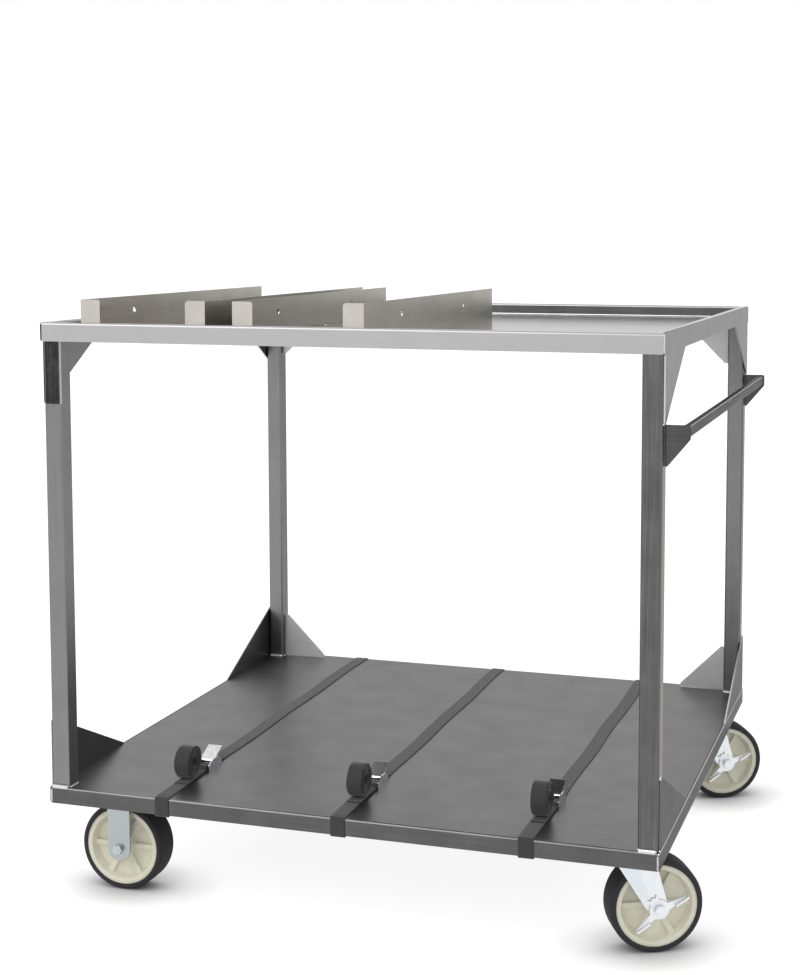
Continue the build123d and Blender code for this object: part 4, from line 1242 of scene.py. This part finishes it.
    def spokes(self, inner: float) -> Object:
        """Model the radial ribs with moulding draft.

        Args:
            inner: Inner radius of the core's ring.

        Returns:
            All ribs as one object.
        """
        start, end = self.boss - self.boss_bite, inner + self.ring_bite
        size = (end - start, self.rib_depth, self.rib_width)
        middle = ((start + end) / 2, 0, 0)
        rib = shape("rib", bpy.ops.mesh.primitive_cube_add, size, size=1, location=middle)
        with editing(rib, lambda centre, normal: abs(normal.y) > FACING):
            bpy.ops.transform.resize(value=(1, 1, self.rib_draft))
        turns = [Matrix.Rotation(index * math.tau / self.ribs, 4, "Y") for index in range(1, self.ribs)]
        return join([rib] + [copy_of(rib, "rib", turn) for turn in turns], "ribs")

    def build(self) -> None:
        """Model, place and dress the wheel."""
        for obj, part, slot, finish in (
            (self.tyre_piece(), "tyre", "tyre_rubber", TYRE_RUBBER),
            (self.hub_piece(), "hub", "hub_plastic", HUB_PLASTIC),
        ):
            obj.data.transform(self.seat())
            body = f"{self.kind}_wheel_{self.end}"
            place(obj, body, [finish], [f"{self.kind}_{part}_{self.end}"])


# Tie-down straps


@dataclass(frozen=True)
class Bend:
    """An S-bend: radius of both arcs, and steepness between them in degrees."""

    radius: float
    degrees: float

    def slope(self, rise: float) -> float:
        """Length of the straight part of a bend that changes height by a rise."""
        angle = math.radians(self.degrees)
        return (abs(rise) - 2 * self.radius * (1 - math.cos(angle))) / math.sin(angle)

    def reach(self, rise: float) -> float:
        """Distance along the deck that a bend by a rise takes."""
        return Route(Vector((0, 0)), 0.0).climb(rise, self)


@dataclass
class Route:
    """Path of a flat band in its own plane: distance along the deck and height above it."""

    spot: Vector
    heading: float
    points: list[Vector] = field(default_factory=list)

    def __post_init__(self) -> None:
        """Start the path at its first point."""
        self.points.append(self.spot.copy())

    def run(self, length: float, spacing: float = 20.0 * MM) -> "Route":
        """Go straight on.

        Args:
            length: Distance to go.
            spacing: Greatest distance between points.

        Returns:
            The route itself.
        """
        count = max(1, math.ceil(length / spacing))
        ahead = Vector((math.cos(self.heading), math.sin(self.heading)))
        for _ in range(count):
            self.spot = self.spot + ahead * (length / count)
            self.points.append(self.spot.copy())
        return self

    def turn(self, radius: float, degrees: float, spacing: float = 15.0) -> "Route":
        """Follow an arc.

        Args:
            radius: Radius of the arc.
            degrees: Angle of the arc, positive to the left.
            spacing: Greatest angle between points.

        Returns:
            The route itself.
        """
        angle = math.radians(degrees)
        side = math.copysign(1.0, angle)
        count = max(3, math.ceil(abs(degrees) / spacing))
        centre = self.spot + side * radius * Vector((-math.sin(self.heading), math.cos(self.heading)))
        start = self.spot - centre
        for index in range(1, count + 1):
            cos, sin = math.cos(angle * index / count), math.sin(angle * index / count)
            spun = Vector((start.x * cos - start.y * sin, start.x * sin + start.y * cos))
            self.points.append(centre + spun)
        self.spot = self.points[-1].copy()
        self.heading += angle
        return self

    def climb(self, rise: float, bend: Bend) -> float:
        """Rise or drop by an S-bend.

        Args:
            rise: Change of height.
            bend: Shape of the bend.

        Returns:
            Distance along the deck that it takes.
        """
        start = self.spot.x
        side = math.copysign(bend.degrees, rise)
        self.turn(bend.radius, side).run(bend.slope(rise)).turn(bend.radius, -side)
        return abs(self.spot.x - start)

    def length(self) -> float:
        """Length of the whole path."""
        return sum((b - a).length for a, b in zip(self.points, self.points[1:]))


@dataclass
class Strap:
    """Tie-down strap stowed on the lower deck: a long webbing with its end rolled, and a short anchor.

    A stitch's rise, straight part, end, sink and taper are shares of its pitch or its thickness.
    """

    number: int
    station: float
    deck: tuple[Vector, Vector]
    width: float = 25.0 * MM
    thick: float = 1.5 * MM
    seat: float = 0.3 * MM
    tuck: float = 16.0 * MM
    ply_gap: float = 0.45 * MM
    sheet: float = 2.0 * MM
    bend: float = 4.0 * MM
    buckle_at: float = 300.0 * MM
    buckle_length: float = 52.0 * MM
    buckle_wall: float = 2.0 * MM
    bar_at: float = 20.0 * MM
    bar_radius: float = 2.0 * MM
    bar_drop: float = 30.0
    onto_wall: Bend = Bend(6.0 * MM, 15)
    onto_bar: Bend = Bend(4.0 * MM, 35)
    off_bar: Bend = Bend(4.0 * MM, 30)
    return_run: float = 75.0 * MM
    roll_turns: int = 10
    roll_core: float = 7.0 * MM
    roll_pitch: float = 2.0 * MM
    roll_setoff: float = 75.0 * MM
    wander: float = 1.2 * MM
    wander_run: float = 310.0 * MM
    strands: int = 6
    selvedge: float = 0.35 * MM
    sharp_degrees: float = 60.0
    smooth_degrees: float = 50.0
    stitch: float = 3.4 * MM
    stitch_thick: float = 0.8 * MM
    stitch_rise: float = 0.15
    stitch_straight: float = 0.7
    stitch_end: float = 0.15
    stitch_sink: float = 0.4
    stitch_taper: float = 0.6
    box_margin: float = 4.0 * MM
    box_length: float = 40.0 * MM

    @property
    def level(self) -> float:
        """Height of the webbing's middle where it lies on the deck."""
        return self.seat + self.thick / 2

    @property
    def ply(self) -> float:
        """Height from one layer of webbing to the next."""
        return self.thick + self.ply_gap

    @property
    def loop(self) -> float:
        """Radius of the webbing round the buckle's bar."""
        return self.bar_radius + self.seat + self.thick / 2

    def shift(self, along: float) -> float:
        """Sideways wander of a webbing that was laid by hand, at a distance along it."""
        return self.wander * math.sin(math.tau * along / self.wander_run + self.number)

    def start(self) -> Route:
        """Begin behind a turned-down edge, go round its lip and up onto the deck.

        Returns:
            The route up to there.
        """
        apron = self.deck[1].z - self.deck[0].z
        inside = Vector((-self.deck[1].y + self.sheet + self.level, self.tuck - apron))
        route = Route(inside, -math.pi / 2)
        route.run(self.tuck).turn((self.sheet + 2 * self.seat + self.thick) / 2, -180)
        return route.run(apron - self.bend).turn(self.bend + self.level, -90)

    def anchor_route(self) -> Route:
        """Lead the short webbing from the front edge to the bar and back over itself.

        Returns:
            Its whole route.
        """
        slope = Bend(self.loop, self.bar_drop).slope(2 * self.loop - self.ply)
        route = self.start()
        route.run(self.deck[1].y - self.bend - self.buckle_at - self.bar_at)
        route.turn(self.loop, 180 + self.bar_drop).run(slope).turn(self.loop, -self.bar_drop)
        return route.run(self.return_run)

    def tail_route(self) -> Route:
        """Lead the long webbing over the rear edge, through the buckle and into the roll.

        Returns:
            Its whole route.
        """
        back = self.buckle_at - self.buckle_length / 2 - self.width / 2
        bar = self.buckle_at + self.bar_at - self.loop
        through = self.buckle_wall + self.level
        crest = self.level + 2 * self.loop + self.ply
        route = self.start()
        route.run(self.deck[1].y - self.bend + back - self.onto_wall.reach(through - self.level))
        route.climb(through - self.level, self.onto_wall)
        route.run(bar - self.onto_bar.reach(crest - through) - back)
        route.climb(crest - through, self.onto_bar)
        crest_run = 2 * self.loop + self.thick
        route.run(crest_run)
        covered = route.climb(self.level + 2 * self.ply - crest, self.off_bar)
        route.run(self.buckle_at + self.roll_setoff - bar - crest_run - covered)
        outer = self.roll_core + self.roll_turns * self.roll_pitch
        for half in range(2 * self.roll_turns):
            route.turn(outer - half * self.roll_pitch / 2, 180)
        return route

    def band(self, name: str, route: Route, forward: bool) -> Object:
        """Model a webbing along a route.

        Args:
            name: Name of the piece.
            route: Path in the strap's plane.
            forward: Whether the path's distance runs to the front.

        Returns:
            The webbing, with a map in metres that follows the weave.
        """
        sign = -1.0 if forward else 1.0
        top = self.deck[1].z
        span = self.strands + 1
        shares = [k / self.strands for k in range(span)]
        rows, maps, along = [], [], 0.0
        for index, point in enumerate(route.points):
            if index:
                along += (point - route.points[index - 1]).length
            middle = self.station + self.shift(along)
            rows += [(middle + self.width * (k - 0.5), sign * point.x, top + point.y) for k in shares]
            maps += [(self.width * k, along) for k in shares]
        starts = [i * span + k for i in range(len(route.points) - 1) for k in range(self.strands)]
        mesh = bpy.data.meshes.new(name)
        mesh.from_pydata(rows, [], [(n, n + 1, n + span + 1, n + span) for n in starts])
        weave = mesh.uv_layers.new(name=STRAP_WEBBING.map_name)
        for loop in mesh.loops:
            weave.data[loop.index].uv = maps[loop.vertex_index]
        band = bpy.data.objects.new(name, mesh)
        bpy.context.scene.collection.objects.link(band)
        apply_modifier(band, "SOLIDIFY", thickness=self.thick, offset=0.0)
        round_edges(band, self.selvedge, self.sharp_degrees, use_clamp_overlap=False)
        pick(band)
        bpy.ops.object.shade_smooth_by_angle(angle=math.radians(self.smooth_degrees))
        return band

    def stitch_unit(self) -> Object:
        """Model one stitch, a short twist of thread with sunken ends.

        Returns:
            The stitch, along X at the origin.
        """
        unit = shape(
            "stitch", bpy.ops.mesh.primitive_cylinder_add, vertices=6, radius=self.stitch_thick / 2,
            depth=self.stitch_straight * self.stitch, rotation=(0, math.pi / 2, 0),
        )
        for sign in (-1, 1):
            sunken = (sign * self.stitch_end * self.stitch, 0, -self.stitch_sink * self.stitch_thick)
            with editing(unit, lambda centre, normal: normal.x * sign > FACING):
                bpy.ops.mesh.extrude_region_move(TRANSFORM_OT_translate={"value": sunken})
                bpy.ops.transform.resize(value=(1, self.stitch_taper, self.stitch_taper))
        tidy(unit, smooth=60.0)
        return unit

    def stitching(self, route: Route) -> Object:
        """Sew the doubled end of the anchor with a box and a cross.

        Args:
            route: Path of the anchor webbing.

        Returns:
            All stitches as one piece.
        """
        end = route.points[-1]
        level = self.deck[1].z + end.y + self.thick / 2 + self.stitch_rise * self.stitch_thick
        half = self.width / 2 - self.box_margin
        middle = self.station + self.shift(route.length())
        near = end.x + self.box_margin
        far = near + self.box_length
        around = ((-half, near), (half, near), (half, far), (-half, far))
        a, b, c, d = [(middle + x, y, level) for x, y in around]
        lines = [(a, b), (b, c), (c, d), (d, a), (a, c), (b, d)]
        return lay(self.stitch_unit(), lines, self.stitch, f"anchor_stitches_{self.number}")

    def build(self) -> None:
        """Model both webbings and the anchor's seam."""
        tail = self.tail_route()
        webbing = self.band(f"webbing_tail_{self.number}", tail, True)
        place(webbing, CART, [STRAP_WEBBING], [f"strap_webbing_{self.number}"])
        tail.length()
        LOG.info("long webbing %d is %.3f m long", self.number, tail.length())
        anchor = self.anchor_route()
        short = self.band(f"webbing_anchor_{self.number}", anchor, False)
        place(short, CART, [STRAP_WEBBING], ["anchor_webbings"])
        seam = self.stitching(anchor)
        place(seam, CART, [STRAP_THREAD])
        flat = (self.width, anchor.length())
        LOG.info("anchor webbing %d is %.3f m long", self.number, anchor.length())


def main() -> None:
    """Build every sub-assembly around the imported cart."""
    logging.basicConfig(level=logging.INFO, format="%(name)s: %(message)s")
    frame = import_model()
    Studio().build()
    Steelwork(frame["nodes"], frame["record"]).build()
    Welds().build()
    joints = {joint["name"]: joint for joint in frame["joints"]}
    for kind in ("rigid", "swivel"):
        for end in ENDS:
            Wheel(kind, end, joints[f"{kind}_wheel_{end}_spin"]).build()
    for number in (1, 2, 3):
        low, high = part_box(f"strap_webbing_{number}")
        Strap(number, (low.x + high.x) / 2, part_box("lower_deck")).build()


if __name__ == "__main__":
    main()
